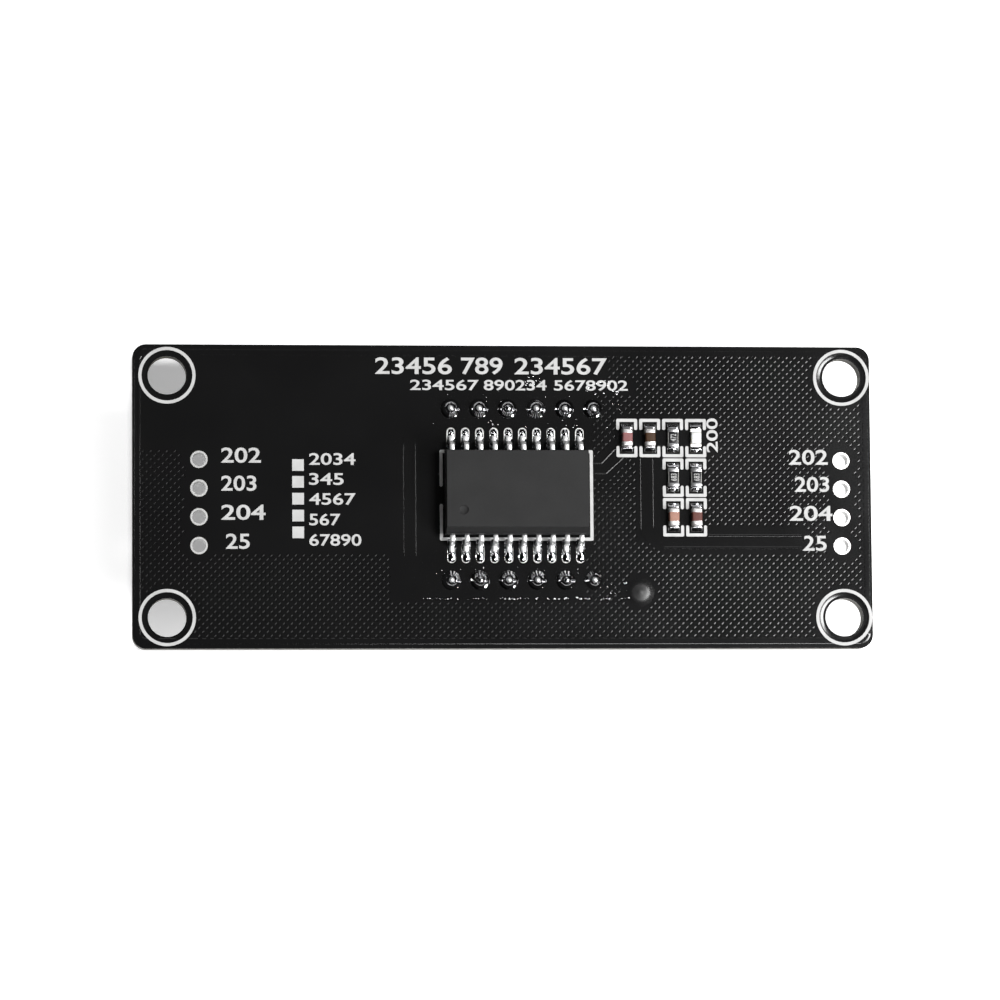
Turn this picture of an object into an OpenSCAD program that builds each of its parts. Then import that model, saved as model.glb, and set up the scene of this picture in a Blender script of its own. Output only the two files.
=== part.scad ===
// Four-digit seven segment display module, lying on its display face with the component side up.
// The origin is at the middle of the board in plan and on the display face in height.
// X runs along the board, Y across it, and the digits stand upright along Y.

/* [Board] */
// Length of the board
board_length = 65.6; // [64:0.1:72]
// Width of the board
board_width = 26.9; // [26:0.1:32]
// Thickness of the board with the solder mask on both sides
board_thickness = 1.6; // [1:0.1:2.4]
// Radius of the board's corners
board_corner_radius = 1.2; // [0.6:0.1:2]
// Thickness of the solder mask, and of the copper pads in its openings
mask_thickness = 0.04; // [0.03:0.01:0.08]
// Gap between a pad and the edge of its mask opening
mask_clearance = 0.04; // [0.02:0.01:0.08]
// Height that a track under the mask lifts it by
track_height = 0.03; // [0.02:0.01:0.06]
// Diameter of the plugged through hole that bulges under the mask
bump_diameter = 1.1; // [0.6:0.1:1.4]
// Height of that bulge
bump_height = 0.12; // [0.06:0.01:0.2]
// Distance of the bulge to the left of the second column of small parts
bump_shift_x = 1; // [0.8:0.1:1.2]
// Distance of the bulge below the lower row of display pins
bump_drop = 1.05; // [1:0.05:1.3]

/* [Tracks] */
// Width of the tracks that show through the mask
track_width = 1.1; // [0.6:0.1:1.1]
// Size of a track's slanted corner
track_corner = 0.9; // [0.5:0.1:1.2]
// Distance of the supply track to the left of the second capacitor
supply_track_shift = 0.3; // [0.1:0.1:0.4]
// Distance from the supply track's end to the right connector row
supply_track_stop = 3.4; // [2:0.1:5]
// Height of the second track below the first capacitor
chip_track_drop = 2.6; // [2.5:0.1:2.8]
// Length of the second track before it slants up to the first capacitor
chip_track_length = 1; // [0.6:0.1:1.2]
// Distance of the third track from the chip
side_track_gap = 3; // [2.6:0.1:3.6]
// Distance from the third track's lower end to the lower row of pins
side_track_stop = 2.2; // [1.6:0.1:3]

/* [Mounting holes] */
// Diameter of the four mounting holes
mount_hole_diameter = 3.4; // [3:0.1:3.6]
// Distance from the left edge to the left holes
mount_inset_left = 3.05; // [2.8:0.05:3.6]
// Distance from the right edge to the right holes
mount_inset_right = 2.55; // [2.55:0.05:3.2]
// Distance from the long edges to the holes
mount_inset_y = 2.75; // [2.6:0.05:3.2]

/* [Connector holes] */
// Number of holes in each connector row
header_pins = 4; // [2:1:5]
// Distance between connector holes
header_pitch = 2.54; // [2:0.01:2.54]
// Diameter of the plated connector hole
header_hole_diameter = 1.2; // [0.9:0.05:1.25]
// Diameter of the tinned ring round a connector hole
header_pad_diameter = 1.52; // [1.4:0.02:1.8]
// Distance from each end of the display body to its connector row
header_end_gap = 3.4; // [2.6:0.1:3.5]
// Height of the middle of the connector rows above the board's centre line
header_offset_y = -0.55; // [-1:0.05:0]
// Thickness of the plating in a hole
plating_thickness = 0.03; // [0.02:0.01:0.05]

/* [Display body] */
// Length of the display body
display_length = 50.3; // [50.2:0.1:51]
// Width of the display body
display_width = 19; // [17.6:0.1:19.5]
// Height of the display from its face to the board
display_height = 8; // [7.5:0.1:9]
// Distance of the display's middle to the right of the board's middle
display_offset_x = 1.6; // [1:0.1:2]
// Distance of the display's middle above the board's middle
display_offset_y = 0.2; // [0:0.1:0.4]
// Wall round the back of the display body
display_wall = 0.8; // [0.5:0.05:0.85]
// Radius of the display body's upright corners
display_corner_radius = 0.3; // [0.1:0.05:0.6]
// Height of the four feet that hold the body off the board
foot_height = 0.3; // [0.1:0.05:0.5]
// Diameter of a foot
foot_diameter = 1.4; // [0.8:0.1:1.6]
// Depth of the light wells from the face to the chips
well_depth = 5.6; // [5:0.1:5.8]
// Share of its face size that a bar's light well keeps at its chip
well_taper = 0.45; // [0.35:0.05:0.7]
// Share of its face size that a decimal point's light well keeps at its chip
point_well_taper = 0.6; // [0.4:0.05:0.8]
// Thickness of the thin board inside the display
inner_board_thickness = 1; // [0.6:0.1:1]
// Gap between the thin board and the wall
inner_board_clearance = 0.05; // [0.02:0.01:0.1]
// Thickness of the resin over the thin board
back_resin_thickness = 0.7; // [0.3:0.1:0.8]

/* [Digits] */
// Number of digits
digit_count = 4; // [1:1:4]
// Distance between digits
digit_pitch = 12.7; // [12.3:0.1:12.7]
// Height of a digit
digit_height = 14.2; // [12:0.1:14.6]
// Width of a digit
digit_width = 8.1; // [7.2:0.1:8.2]
// Width of a segment
segment_width = 1.4; // [1:0.1:1.6]
// Gap between two segments
segment_gap = 0.25; // [0.15:0.05:0.4]
// Lean of the digits in degrees
digit_slant = 10; // [0:1:11]
// Diameter of a decimal point
point_diameter = 1.6; // [1.2:0.1:1.7]
// Distance from a digit's middle to its decimal point
point_offset = 5.3; // [5:0.1:5.4]
// Side of a light chip
die_size = 0.28; // [0.2:0.02:0.34]
// Height of a light chip
die_height = 0.15; // [0.1:0.01:0.2]

/* [Display pins] */
// Number of pins in a row
pins_per_row = 6; // [4:1:6]
// Distance between pins
pin_pitch = 2.54; // [2:0.01:2.54]
// Distance between the two rows of pins
pin_row_spacing = 15.24; // [15:0.01:15.4]
// Diameter of a pin
pin_diameter = 0.5; // [0.4:0.02:0.6]
// Length of pin that stands above the board
pin_tip_length = 0.8; // [0.7:0.05:1]
// Bevel on the end of a pin
pin_tip_bevel = 0.12; // [0.05:0.01:0.15]
// Diameter of the plated hole for a pin
pin_hole_diameter = 0.9; // [0.7:0.05:1]
// Diameter of the ring round a pin hole
pin_pad_diameter = 1.64; // [1.4:0.02:1.7]
// Height of the solder on a pin
pin_solder_height = 0.62; // [0.4:0.02:0.66]
// Thickness to which the solder thins out at the rim of its ring and round the pin
pin_solder_lip = 0.03; // [0.02:0.01:0.05]

/* [Driver chip] */
// Length of the chip's moulded body
chip_length = 12.8; // [12.4:0.1:13]
// Width of the chip's moulded body
chip_width = 7.5; // [7.2:0.1:7.6]
// Height of the moulded body
chip_body_height = 2.3; // [1.8:0.05:2.4]
// Gap under the moulded body
chip_standoff = 0.1; // [0.05:0.05:0.25]
// Lean of the moulded body's sides in degrees
chip_draft = 6; // [2:1:9]
// Bevel along the side with the first lead
chip_bevel = 0.5; // [0.25:0.05:0.6]
// Distance of the chip's middle to the right of the board's middle
chip_offset_x = 1.02; // [0.9:0.02:1.2]
// Distance of the chip's middle above the board's middle
chip_offset_y = 0.26; // [0.1:0.02:0.4]
// Number of leads on each side
chip_leads_per_side = 10; // [8:1:10]
// Distance between leads
chip_lead_pitch = 1.27; // [1.2:0.01:1.27]
// Width of a lead
chip_lead_width = 0.42; // [0.35:0.01:0.5]
// Thickness of a lead
chip_lead_thickness = 0.25; // [0.2:0.01:0.28]
// Distance between the tips of opposite leads
chip_lead_span = 10.3; // [10:0.1:10.4]
// Length of lead between the body and its first bend
chip_shoulder = 0.6; // [0.45:0.05:0.65]
// Length of a lead's foot
chip_foot = 0.6; // [0.5:0.05:0.6]
// Radius of a lead's bends at the middle of its thickness
chip_bend_radius = 0.2; // [0.15:0.01:0.22]
// Diameter of the first lead's dimple
dimple_diameter = 0.8; // [0.5:0.05:1]
// Depth of the dimple
dimple_depth = 0.08; // [0.04:0.01:0.12]
// Distance from the end of the body to the dimple
dimple_inset_x = 1.6; // [1.2:0.1:2]
// Distance from the side of the body to the dimple
dimple_inset_y = 2.1; // [1.8:0.1:2.4]
// Width of a chip pad
chip_pad_width = 0.74; // [0.6:0.01:0.75]
// Distance from the middle line of the chip's pads to their outer ends
chip_pad_reach = 6; // [5.9:0.02:6.1]
// Length of a chip pad
chip_pad_length = 1.75; // [1.6:0.05:1.8]
// Distance of the middle line of the chip's pads above the board's middle
chip_pad_offset_y = 0.12; // [0.1:0.02:0.3]

/* [Small parts] */
// Distance from the board's middle to the first column of small parts
small_first_x = 10.97; // [10.9:0.01:11.1]
// Distance from the board's middle line to the first row of small parts
small_first_y = 5.25; // [5.2:0.01:5.3]
// Distance between columns of small parts
small_pitch_x = 2.05; // [2.02:0.01:2.1]
// Distance between rows of small parts
small_pitch_y = 3.53; // [3.5:0.01:3.6]
// Length of a small part
small_length = 1.6; // [1.5:0.02:1.7]
// Width of a small part
small_width = 0.94; // [0.8:0.02:0.96]
// Height of a capacitor
capacitor_height = 0.8; // [0.5:0.05:0.9]
// Height of a resistor
resistor_height = 0.45; // [0.35:0.01:0.5]
// Thickness of the black glaze on a resistor
resistor_glaze = 0.04; // [0.02:0.01:0.06]
// Length of the metal end of a capacitor
capacitor_end = 0.4; // [0.25:0.01:0.45]
// Length of the metal end of a resistor
resistor_end = 0.3; // [0.2:0.01:0.35]
// Thickness of the metal on an end
end_thickness = 0.03; // [0.02:0.01:0.05]
// Width of a small part's pad
small_pad_width = 0.96; // [0.9:0.02:1.1]
// Length of a small part's pad
small_pad_length = 0.86; // [0.8:0.02:0.9]
// Gap between the two pads of a small part
small_pad_gap = 0.76; // [0.7:0.02:0.8]
// Height of the solder at the end of a small part
small_solder_height = 0.36; // [0.3:0.02:0.38]
// Thickness to which the solder thins out at the outer end of a small part's pad
small_solder_lip = 0.06; // [0.03:0.01:0.08]
// Height of the power light's white base
light_base_height = 0.25; // [0.2:0.01:0.3]
// Height of the power light's lens above its base
light_lens_height = 0.4; // [0.3:0.02:0.5]
// Length of the power light's lens
light_lens_length = 1.1; // [0.9:0.02:1.2]
// Share of its length that the lens keeps at its top
light_lens_taper = 0.86; // [0.7:0.02:1]

/* [Print] */
// Thickness of the white print
print_thickness = 0.02; // [0.01:0.005:0.03]
// Width of a printed line
print_line = 0.28; // [0.2:0.01:0.3]
// Outer diameter of the ring printed round a mounting hole
ring_diameter = 5.04; // [4.8:0.02:5.08]
// Width of the bracket printed at each end of a small part
bracket_width = 1.87; // [1.8:0.01:1.9]
// Height of the two brackets of a small part together
bracket_height = 3.43; // [3.4:0.01:3.48]
// Length of a bracket's arms
bracket_arm = 1; // [0.9:0.02:1.1]
// Gap between the chip's body and the outline printed round it
chip_outline_gap = 0.14; // [0.12:0.02:0.3]
// Distance of the outline's middle to the right of the board's middle
chip_outline_offset_x = 1.1; // [1:0.02:1.2]
// Opening in the outline at the end with the first lead
chip_outline_opening = 1.8; // [1.4:0.1:2.2]
// Number of colour boxes
box_count = 5; // [3:1:5]
// Side of a colour box
box_size = 1.03; // [0.9:0.01:1.1]
// Distance between colour boxes
box_pitch = 1.49; // [1.4:0.01:1.5]
// Distance from the left connector row to the colour boxes
box_column = 8.72; // [8.5:0.02:8.8]
// Height of the top colour box above the board's centre line
box_top_y = 2.77; // [2.7:0.01:2.8]
// Distance of the printed frame on the display side from the display body
frame_gap = 0.2; // [0.1:0.05:0.4]

/* [Hidden] */
$fn = 48;
fit_overrun = 0.01;

board_top = display_height + board_thickness;
laminate_bottom = display_height + mask_thickness;
laminate_top = board_top - mask_thickness;

mount_x = [mount_inset_left - board_length / 2, board_length / 2 - mount_inset_right];
mount_y = [mount_inset_y - board_width / 2, board_width / 2 - mount_inset_y];
header_x = [
    display_offset_x - display_length / 2 - header_end_gap,
    display_offset_x + display_length / 2 + header_end_gap
];
pin_row_y = [display_offset_y - pin_row_spacing / 2, display_offset_y + pin_row_spacing / 2];

rim_height = display_height - foot_height;
inner_board_top = well_depth + inner_board_thickness;
inner_length = display_length - 2 * display_wall;
inner_width = display_width - 2 * display_wall;

chip_top = board_top + chip_standoff + chip_body_height;
chip_parting = chip_standoff + chip_body_height / 2;
chip_side_lean = tan(chip_draft) * chip_body_height / 2;
chip_foot_start = chip_lead_span / 2 - chip_foot;
chip_solder_radius = chip_pad_width / 2;

light_end_length = (small_length - light_lens_length) / 2;

// Places of the small parts as [column, row]
CAPACITORS = [[0, 0], [1, 0], [2, 2], [3, 2]];
RESISTORS = [[2, 0], [2, 1], [3, 1]];
POWER_LIGHT = [3, 0];
CERAMIC_COLOURS = ["#c96d6d", "#5f3c28", "#df9577", "#7d3c32"];

// Helpers for places

function small_place(p) = [small_first_x + p[0] * small_pitch_x, small_first_y - p[1] * small_pitch_y];
function all_small_places() = [for (p = concat(CAPACITORS, RESISTORS, [POWER_LIGHT])) small_place(p)];
function pin_x(i) = display_offset_x + (i - (pins_per_row - 1) / 2) * pin_pitch;
function header_y(i) = header_offset_y + ((header_pins - 1) / 2 - i) * header_pitch;
function lead_x(i) = chip_offset_x + (i - (chip_leads_per_side - 1) / 2) * chip_lead_pitch;

// Helpers for outlines

// Radius of the sphere whose cap has this base radius and height
function cap_sphere(base, height) = (base * base + height * height) / (2 * height);

function unit(v) = v / norm(v);
function left_of(v) = [-v[1], v[0]];

// Sideways direction at point i of a path, lengthened at a corner so that the ribbon keeps its width
function side_at(path, i) =
    let (last = len(path) - 1,
         before = left_of(unit(path[max(i, 1)] - path[max(i, 1) - 1])),
         after = left_of(unit(path[min(i + 1, last)] - path[min(i + 1, last) - 1])),
         middle = unit(before + after))
    middle / (middle * after);

// Outline of a strip of a given width along a path
function ribbon(path, width) = concat(
    [for (i = [0 : len(path) - 1]) path[i] + side_at(path, i) * width / 2],
    [for (i = [len(path) - 1 : -1 : 0]) path[i] - side_at(path, i) * width / 2]);

// Points of the round bend that replaces the corner b between a and c
function bend(a, b, c, radius, steps = 5) =
    let (u = unit(a - b), v = unit(c - b),
         half = acos(u * v) / 2,
         reach = radius / tan(half),
         centre = b + unit(u + v) * radius / sin(half),
         start = b + u * reach - centre,
         turn = (180 - 2 * half) * sign(left_of(b - a) * (c - b)))
    [for (k = [0 : steps])
        let (w = turn * k / steps)
        centre + [start[0] * cos(w) - start[1] * sin(w), start[0] * sin(w) + start[1] * cos(w)]];

module rounded_rectangle(length, width, radius) {
    square([length - 2 * radius, width], center = true);
    square([length, width - 2 * radius], center = true);
    for (x = [-1, 1], y = [-1, 1])
        translate([x * (length / 2 - radius), y * (width / 2 - radius)])
            circle(r = radius);
}

// A bar along Y with round ends
module rounded_bar(width, length) {
    square([width, length - width], center = true);
    for (side = [-1, 1])
        translate([0, side * (length - width) / 2])
            circle(d = width);
}

module ring(outer, line) {
    difference() {
        circle(d = outer);
        circle(d = outer - 2 * line);
    }
}

// A line drawn through these points with a round pen
module pen_line(path, width) {
    for (i = [1 : len(path) - 1])
        let (way = path[i] - path[i - 1])
            translate((path[i] + path[i - 1]) / 2)
                rotate(atan2(way[1], way[0]))
                    square([norm(way), width], center = true);
    for (p = path)
        translate(p)
            circle(d = width);
}

// Board

module board_outline() {
    rounded_rectangle(board_length, board_width, board_corner_radius);
}

module at_mounting_holes() {
    for (x = mount_x, y = mount_y)
        translate([x, y])
            children();
}

module at_connector_row(x) {
    for (i = [0 : header_pins - 1])
        translate([x, header_y(i)])
            children();
}

module at_pin_row(y) {
    for (i = [0 : pins_per_row - 1])
        translate([pin_x(i), y])
            children();
}

module at_chip_leads(side) {
    for (i = [0 : chip_leads_per_side - 1])
        translate([lead_x(i), chip_offset_y])
            on_side(side)
                children();
}

// Turns what is drawn for the upper side over to the lower side
module on_side(side) {
    mirror([0, side < 0 ? 1 : 0, 0])
        children();
}

module hole_openings(grow) {
    for (x = header_x)
        at_connector_row(x)
            circle(d = grow + header_hole_diameter);
    for (y = pin_row_y)
        at_pin_row(y)
            circle(d = grow + pin_hole_diameter);
}

module ring_openings() {
    for (x = header_x)
        at_connector_row(x)
            circle(d = header_pad_diameter + 2 * mask_clearance);
    for (y = pin_row_y)
        at_pin_row(y)
            circle(d = pin_pad_diameter + 2 * mask_clearance);
}

module board_laminate() {
    color("#8c8672")
        translate([0, 0, laminate_bottom])
            linear_extrude(laminate_top - laminate_bottom)
                difference() {
                    board_outline();
                    at_mounting_holes() circle(d = mount_hole_diameter);
                    hole_openings(2 * plating_thickness);
                }
}

// Flat copper pads of the chip with round ends, in plan
module chip_pad_shapes(grow = 0) {
    for (side = [-1, 1], i = [0 : chip_leads_per_side - 1])
        translate([lead_x(i), chip_pad_offset_y])
            on_side(side)
                translate([0, chip_pad_reach - chip_pad_length / 2])
                    rounded_bar(chip_pad_width + grow, chip_pad_length + grow);
}

// Flat copper pads of the small parts, in plan
module small_pad_shapes(grow = 0) {
    for (p = all_small_places(), side = [-1, 1])
        translate([p[0], p[1] + side * (small_pad_gap + small_pad_length) / 2])
            square([small_pad_width + grow, small_pad_length + grow], center = true);
}

// Centre lines of the tracks that show through the mask
function supply_track() =
    let (start = small_place(CAPACITORS[1]),
         below = small_place(CAPACITORS[2])[1] - bracket_height / 2 - track_width / 2,
         x = start[0] - supply_track_shift)
    [[x, start[1] - bracket_height / 2], [x, below + track_corner], [x + track_corner, below],
     [header_x[1] - supply_track_stop, below]];

function chip_track() =
    let (goal = small_place(CAPACITORS[0]),
         low = goal[1] - chip_track_drop,
         start = chip_offset_x + chip_length / 2 + chip_outline_gap + print_line,
         knee = start + chip_track_length)
    [[start, low], [knee, low], [goal[0], low + goal[0] - knee]];

function side_track() =
    let (x = chip_offset_x - chip_length / 2 - side_track_gap)
    [[x, small_first_y], [x, pin_row_y[0] + side_track_stop]];

module track_shapes() {
    for (path = [supply_track(), chip_track(), side_track()])
        polygon(ribbon(path, track_width));
}

module component_side_mask() {
    bump_place = [small_place([1, 0])[0] - bump_shift_x, pin_row_y[0] - bump_drop];
    bump_sphere = cap_sphere(bump_diameter / 2, bump_height);
    color("#1c1c1e") {
        translate([0, 0, laminate_top])
            linear_extrude(mask_thickness)
                difference() {
                    board_outline();
                    at_mounting_holes() circle(d = mount_hole_diameter);
                    ring_openings();
                    chip_pad_shapes(2 * mask_clearance);
                    small_pad_shapes(2 * mask_clearance);
                }
        translate([0, 0, board_top - mask_thickness / 2])
            linear_extrude(track_height + mask_thickness / 2)
                difference() {
                    track_shapes();
                    component_print_shapes();
                    small_pad_shapes(2 * mask_clearance);
                }
        intersection() {
            translate([bump_place[0], bump_place[1], board_top + bump_height - bump_sphere])
                sphere(r = bump_sphere);
            translate([bump_place[0], bump_place[1], board_top - mask_thickness / 2])
                cylinder(d = 2 * bump_diameter, h = 1);
        }
    }
}

module display_side_mask() {
    color("#1c1c1e")
        translate([0, 0, display_height])
            linear_extrude(mask_thickness)
                difference() {
                    board_outline();
                    at_mounting_holes() circle(d = mount_hole_diameter);
                    ring_openings();
                }
}

// A plated hole with its tinned ring on both faces
module plated_hole(hole, pad) {
    translate([0, 0, display_height])
        difference() {
            union() {
                cylinder(d = hole + 2 * plating_thickness, h = board_thickness);
                cylinder(d = pad, h = mask_thickness);
                translate([0, 0, board_thickness - mask_thickness])
                    cylinder(d = pad, h = mask_thickness);
            }
            translate([0, 0, -fit_overrun])
                cylinder(d = hole, h = board_thickness + 2 * fit_overrun);
        }
}

module connector_plating(x) {
    color("#c9c9c6")
        at_connector_row(x)
            plated_hole(header_hole_diameter, header_pad_diameter);
}

module pin_plating(y) {
    color("#c9c9c6")
        at_pin_row(y)
            plated_hole(pin_hole_diameter, pin_pad_diameter);
}

module chip_pads() {
    color("#c9c9c6")
        translate([0, 0, laminate_top])
            linear_extrude(mask_thickness)
                chip_pad_shapes();
}

module small_part_pads() {
    color("#c9c9c6")
        translate([0, 0, laminate_top])
            linear_extrude(mask_thickness)
                small_pad_shapes();
}

// Print

// One bracket of a small part, open towards the part
module bracket() {
    x = (bracket_width - print_line) / 2;
    top = (bracket_height - print_line) / 2;
    low = bracket_height / 2 - bracket_arm + print_line / 2;
    pen_line([[-x, low], [-x, top], [x, top], [x, low]], print_line);
}

// The outline round the chip, centred on its pads and open where the first lead is
module chip_outline() {
    x = (chip_length + print_line) / 2 + chip_outline_gap;
    y = chip_width / 2 + chip_outline_gap;
    gap = chip_outline_opening / 2;
    translate([chip_outline_offset_x, chip_pad_offset_y])
        pen_line([[-x, -gap], [-x, -y], [x, -y], [x, y], [-x, y], [-x, gap]], print_line);
}

module component_print_shapes() {
    at_mounting_holes() ring(ring_diameter, print_line);
    chip_outline();
    for (p = all_small_places(), side = [-1, 1])
        translate(p)
            on_side(side)
                bracket();
    for (i = [0 : box_count - 1])
        translate([header_x[0] + box_column, box_top_y - i * box_pitch])
            square(box_size, center = true);
}

module component_side_print() {
    color("white")
        translate([0, 0, board_top])
            linear_extrude(print_thickness)
                component_print_shapes();
}

module display_side_print() {
    color("white")
        translate([0, 0, display_height - print_thickness])
            linear_extrude(print_thickness) {
                at_mounting_holes() ring(ring_diameter, print_line);
                translate([display_offset_x, display_offset_y])
                    difference() {
                        square([display_length + 2 * frame_gap + 2 * print_line,
                                display_width + 2 * frame_gap + 2 * print_line], center = true);
                        square([display_length + 2 * frame_gap, display_width + 2 * frame_gap],
                               center = true);
                    }
            }
}

// Digits. They are drawn as seen from the face, with u to the right and v up, and then turned over.

// Centres of the seven segments, and whether each one stands upright
function segment_places() =
    let (u = (digit_width - segment_width) / 2, v = (digit_height - segment_width) / 2)
    [[0, v, false], [u, v / 2, true], [u, -v / 2, true], [0, -v, false],
     [-u, -v / 2, true], [-u, v / 2, true], [0, 0, false]];

// A bar with pointed ends, as long as the way between two corners of the digit
function segment_bar(upright) =
    let (reach = (upright ? (digit_height - segment_width) / 4 : (digit_width - segment_width) / 2)
             - segment_gap / 2,
         half = segment_width / 2,
         bar = [[-reach, 0], [half - reach, half], [reach - half, half],
                [reach, 0], [reach - half, -half], [half - reach, -half]])
    [for (p = bar) upright ? [p[1], p[0]] : p];

// Leans a point of the digit to the right as it rises, and turns it over to the face that looks down
function turned(p) = [-(p[0] + p[1] * tan(digit_slant)), p[1]];

function digit_x(i) = display_offset_x + ((digit_count - 1) / 2 - i) * digit_pitch;

// The solid inside one light well: the bar's outline at the face, narrowing to its chip
module segment_well(place, over = 0) {
    translate(concat(turned([place[0], place[1]]), [-over]))
        linear_extrude(well_depth + over, scale = well_taper)
            polygon([for (p = segment_bar(place[2])) turned(p)]);
}

module point_well(over = 0) {
    translate(concat(turned([point_offset, (point_diameter - digit_height) / 2]), [-over]))
        cylinder(d1 = point_diameter, d2 = point_diameter * point_well_taper, h = well_depth + over);
}

module at_digit(i) {
    translate([digit_x(i), display_offset_y, 0])
        children();
}

// The light chips of one digit, one at the narrow end of each well
module digit_dies() {
    places = concat(segment_places(), [[point_offset, (point_diameter - digit_height) / 2]]);
    for (p = places)
        translate(concat(turned([p[0], p[1]]), [well_depth - die_height / 2]))
            cube([die_size, die_size, die_height], center = true);
}

module digit_light_pipes(i) {
    color("#e9e6dc")
        at_digit(i)
            difference() {
                union() {
                    for (p = segment_places())
                        segment_well(p);
                    point_well();
                }
                digit_dies();
            }
}

module display_light_dies() {
    color("#b8a24a")
        for (i = [0 : digit_count - 1])
            at_digit(i)
                digit_dies();
}

module display_feet() {
    for (x = [-1, 1], y = [-1, 1])
        translate([display_offset_x + x * (display_length - foot_diameter) / 2,
                   display_offset_y + y * (display_width - foot_diameter) / 2, 0])
            children();
}

module display_housing() {
    color("#2a2a2c")
        difference() {
            union() {
                translate([display_offset_x, display_offset_y, 0])
                    linear_extrude(rim_height)
                        rounded_rectangle(display_length, display_width, display_corner_radius);
                display_feet()
                    cylinder(d = foot_diameter, h = display_height);
            }
            translate([display_offset_x, display_offset_y, well_depth])
                linear_extrude(display_height)
                    square([inner_length, inner_width], center = true);
            for (i = [0 : digit_count - 1])
                at_digit(i) {
                    for (p = segment_places())
                        segment_well(p);
                    point_well();
                }
        }
}

module pin_holes(from, height) {
    for (y = pin_row_y)
        at_pin_row(y)
            translate([0, 0, from - fit_overrun])
                cylinder(d = pin_diameter, h = height + 2 * fit_overrun);
}

module display_inner_board() {
    color("#d8d2bf")
        difference() {
            translate([display_offset_x, display_offset_y, well_depth + inner_board_thickness / 2])
                cube([inner_length - 2 * inner_board_clearance, inner_width - 2 * inner_board_clearance,
                      inner_board_thickness], center = true);
            pin_holes(well_depth, inner_board_thickness);
        }
}

module display_back_resin() {
    color("#d9d9d2")
        difference() {
            translate([display_offset_x, display_offset_y, inner_board_top + back_resin_thickness / 2])
                cube([inner_length, inner_width, back_resin_thickness], center = true);
            pin_holes(inner_board_top, back_resin_thickness);
        }
}

// Display pins and their solder

module pin(length) {
    cylinder(d = pin_diameter, h = length - pin_tip_bevel);
    translate([0, 0, length - pin_tip_bevel])
        cylinder(d1 = pin_diameter, d2 = pin_diameter - 2 * pin_tip_bevel, h = pin_tip_bevel);
}

module display_pins(y) {
    color("#d4d4d2")
        at_pin_row(y)
            translate([0, 0, well_depth])
                pin(board_top + pin_tip_length - well_depth);
}

// A hollow-sided cone of solder on the ring, with the solder that fills the hole round the pin
module pin_solder(y) {
    base = pin_pad_diameter / 2;
    hollow = base - pin_diameter / 2 - pin_solder_lip;
    color("#a9a9ab")
        at_pin_row(y)
            difference() {
                union() {
                    translate([0, 0, board_top])
                        difference() {
                            cylinder(r = base, h = pin_solder_height);
                            translate([0, 0, hollow + pin_solder_lip])
                                rotate_extrude()
                                    translate([base, 0])
                                        circle(r = hollow);
                        }
                    translate([0, 0, display_height])
                        cylinder(d = pin_hole_diameter, h = board_thickness);
                }
                translate([0, 0, display_height - fit_overrun])
                    cylinder(d = pin_diameter, h = board_thickness + pin_solder_height + 1);
            }
}

// Driver chip

// One half of the moulded body, from its widest at the parting line to its flat face
module chip_half() {
    linear_extrude(chip_body_height / 2, slices = 1, segments = 1,
                   scale = [1 - 2 * chip_side_lean / chip_length, 1 - 2 * chip_side_lean / chip_width])
        square([chip_length, chip_width], center = true);
}

module driver_chip_body() {
    edge_y = chip_width / 2 - chip_side_lean;
    color("#39393b")
        translate([chip_offset_x, chip_offset_y, board_top + chip_parting])
            difference() {
                union() {
                    chip_half();
                    mirror([0, 0, 1]) chip_half();
                }
                translate([0, -edge_y, chip_body_height / 2])
                    rotate([45, 0, 0])
                        cube([chip_length + 2, chip_bevel * sqrt(2), chip_bevel * sqrt(2)], center = true);
                translate([dimple_inset_x - chip_length / 2, dimple_inset_y - chip_width / 2,
                           chip_body_height / 2 - dimple_depth])
                    cylinder(d = dimple_diameter, h = 1);
            }
}

// Middle line of a lead in its own plane: out of the body, down, and along the pad
function lead_path() =
    let (root = [chip_width / 2, chip_parting],
         knee = [chip_width / 2 + chip_shoulder, chip_parting],
         heel = [chip_foot_start, chip_lead_thickness / 2],
         tip = [chip_lead_span / 2, chip_lead_thickness / 2])
    concat([root], bend(root, knee, heel, chip_bend_radius),
           bend(knee, heel, tip, chip_bend_radius), [tip]);

module chip_lead() {
    translate([-chip_lead_width / 2, 0, board_top])
        rotate([90, 0, 90])
            linear_extrude(chip_lead_width)
                polygon(ribbon(lead_path(), chip_lead_thickness));
}

module driver_chip_leads(side) {
    color("#c4c4c6")
        at_chip_leads(side)
            chip_lead();
}

// A rounded bead of solder over the outer end of the pad, hugging the foot
module lead_solder(side) {
    end = chip_pad_reach + side * (chip_pad_offset_y - chip_offset_y) - chip_solder_radius;
    color("#a9a9ab")
        at_chip_leads(side)
            difference() {
                intersection() {
                    union() {
                        translate([0, chip_foot_start, board_top])
                            rotate([-90, 0, 0])
                                cylinder(r = chip_solder_radius, h = end - chip_foot_start);
                        translate([0, end, board_top])
                            sphere(r = chip_solder_radius);
                    }
                    translate([-chip_pad_width, 0, board_top])
                        cube([2 * chip_pad_width, 2 * chip_pad_reach, 1]);
                }
                chip_lead();
            }
}

// Small parts. Each one lies along Y with a metal end over each pad.

module block(width, length, height) {
    translate([-width / 2, -length / 2, 0])
        cube([width, length, height]);
}

module at_small_part(p) {
    translate(concat(small_place(p), [board_top]))
        children();
}

// The bare block inside the metal ends
module small_core(height) {
    translate([0, 0, end_thickness])
        block(small_width - 2 * end_thickness, small_length - 2 * end_thickness,
              height - 2 * end_thickness);
}

// Metal caps over both ends of a part
module metal_ends(height, end_length) {
    difference() {
        block(small_width, small_length, height);
        small_core(height);
        translate([0, 0, -fit_overrun])
            block(2 * small_width, small_length - 2 * end_length, 2 * height);
    }
}

module capacitor_ceramic(i) {
    color(CERAMIC_COLOURS[i - 1])
        at_small_part(CAPACITORS[i - 1])
            small_core(capacitor_height);
}

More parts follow.
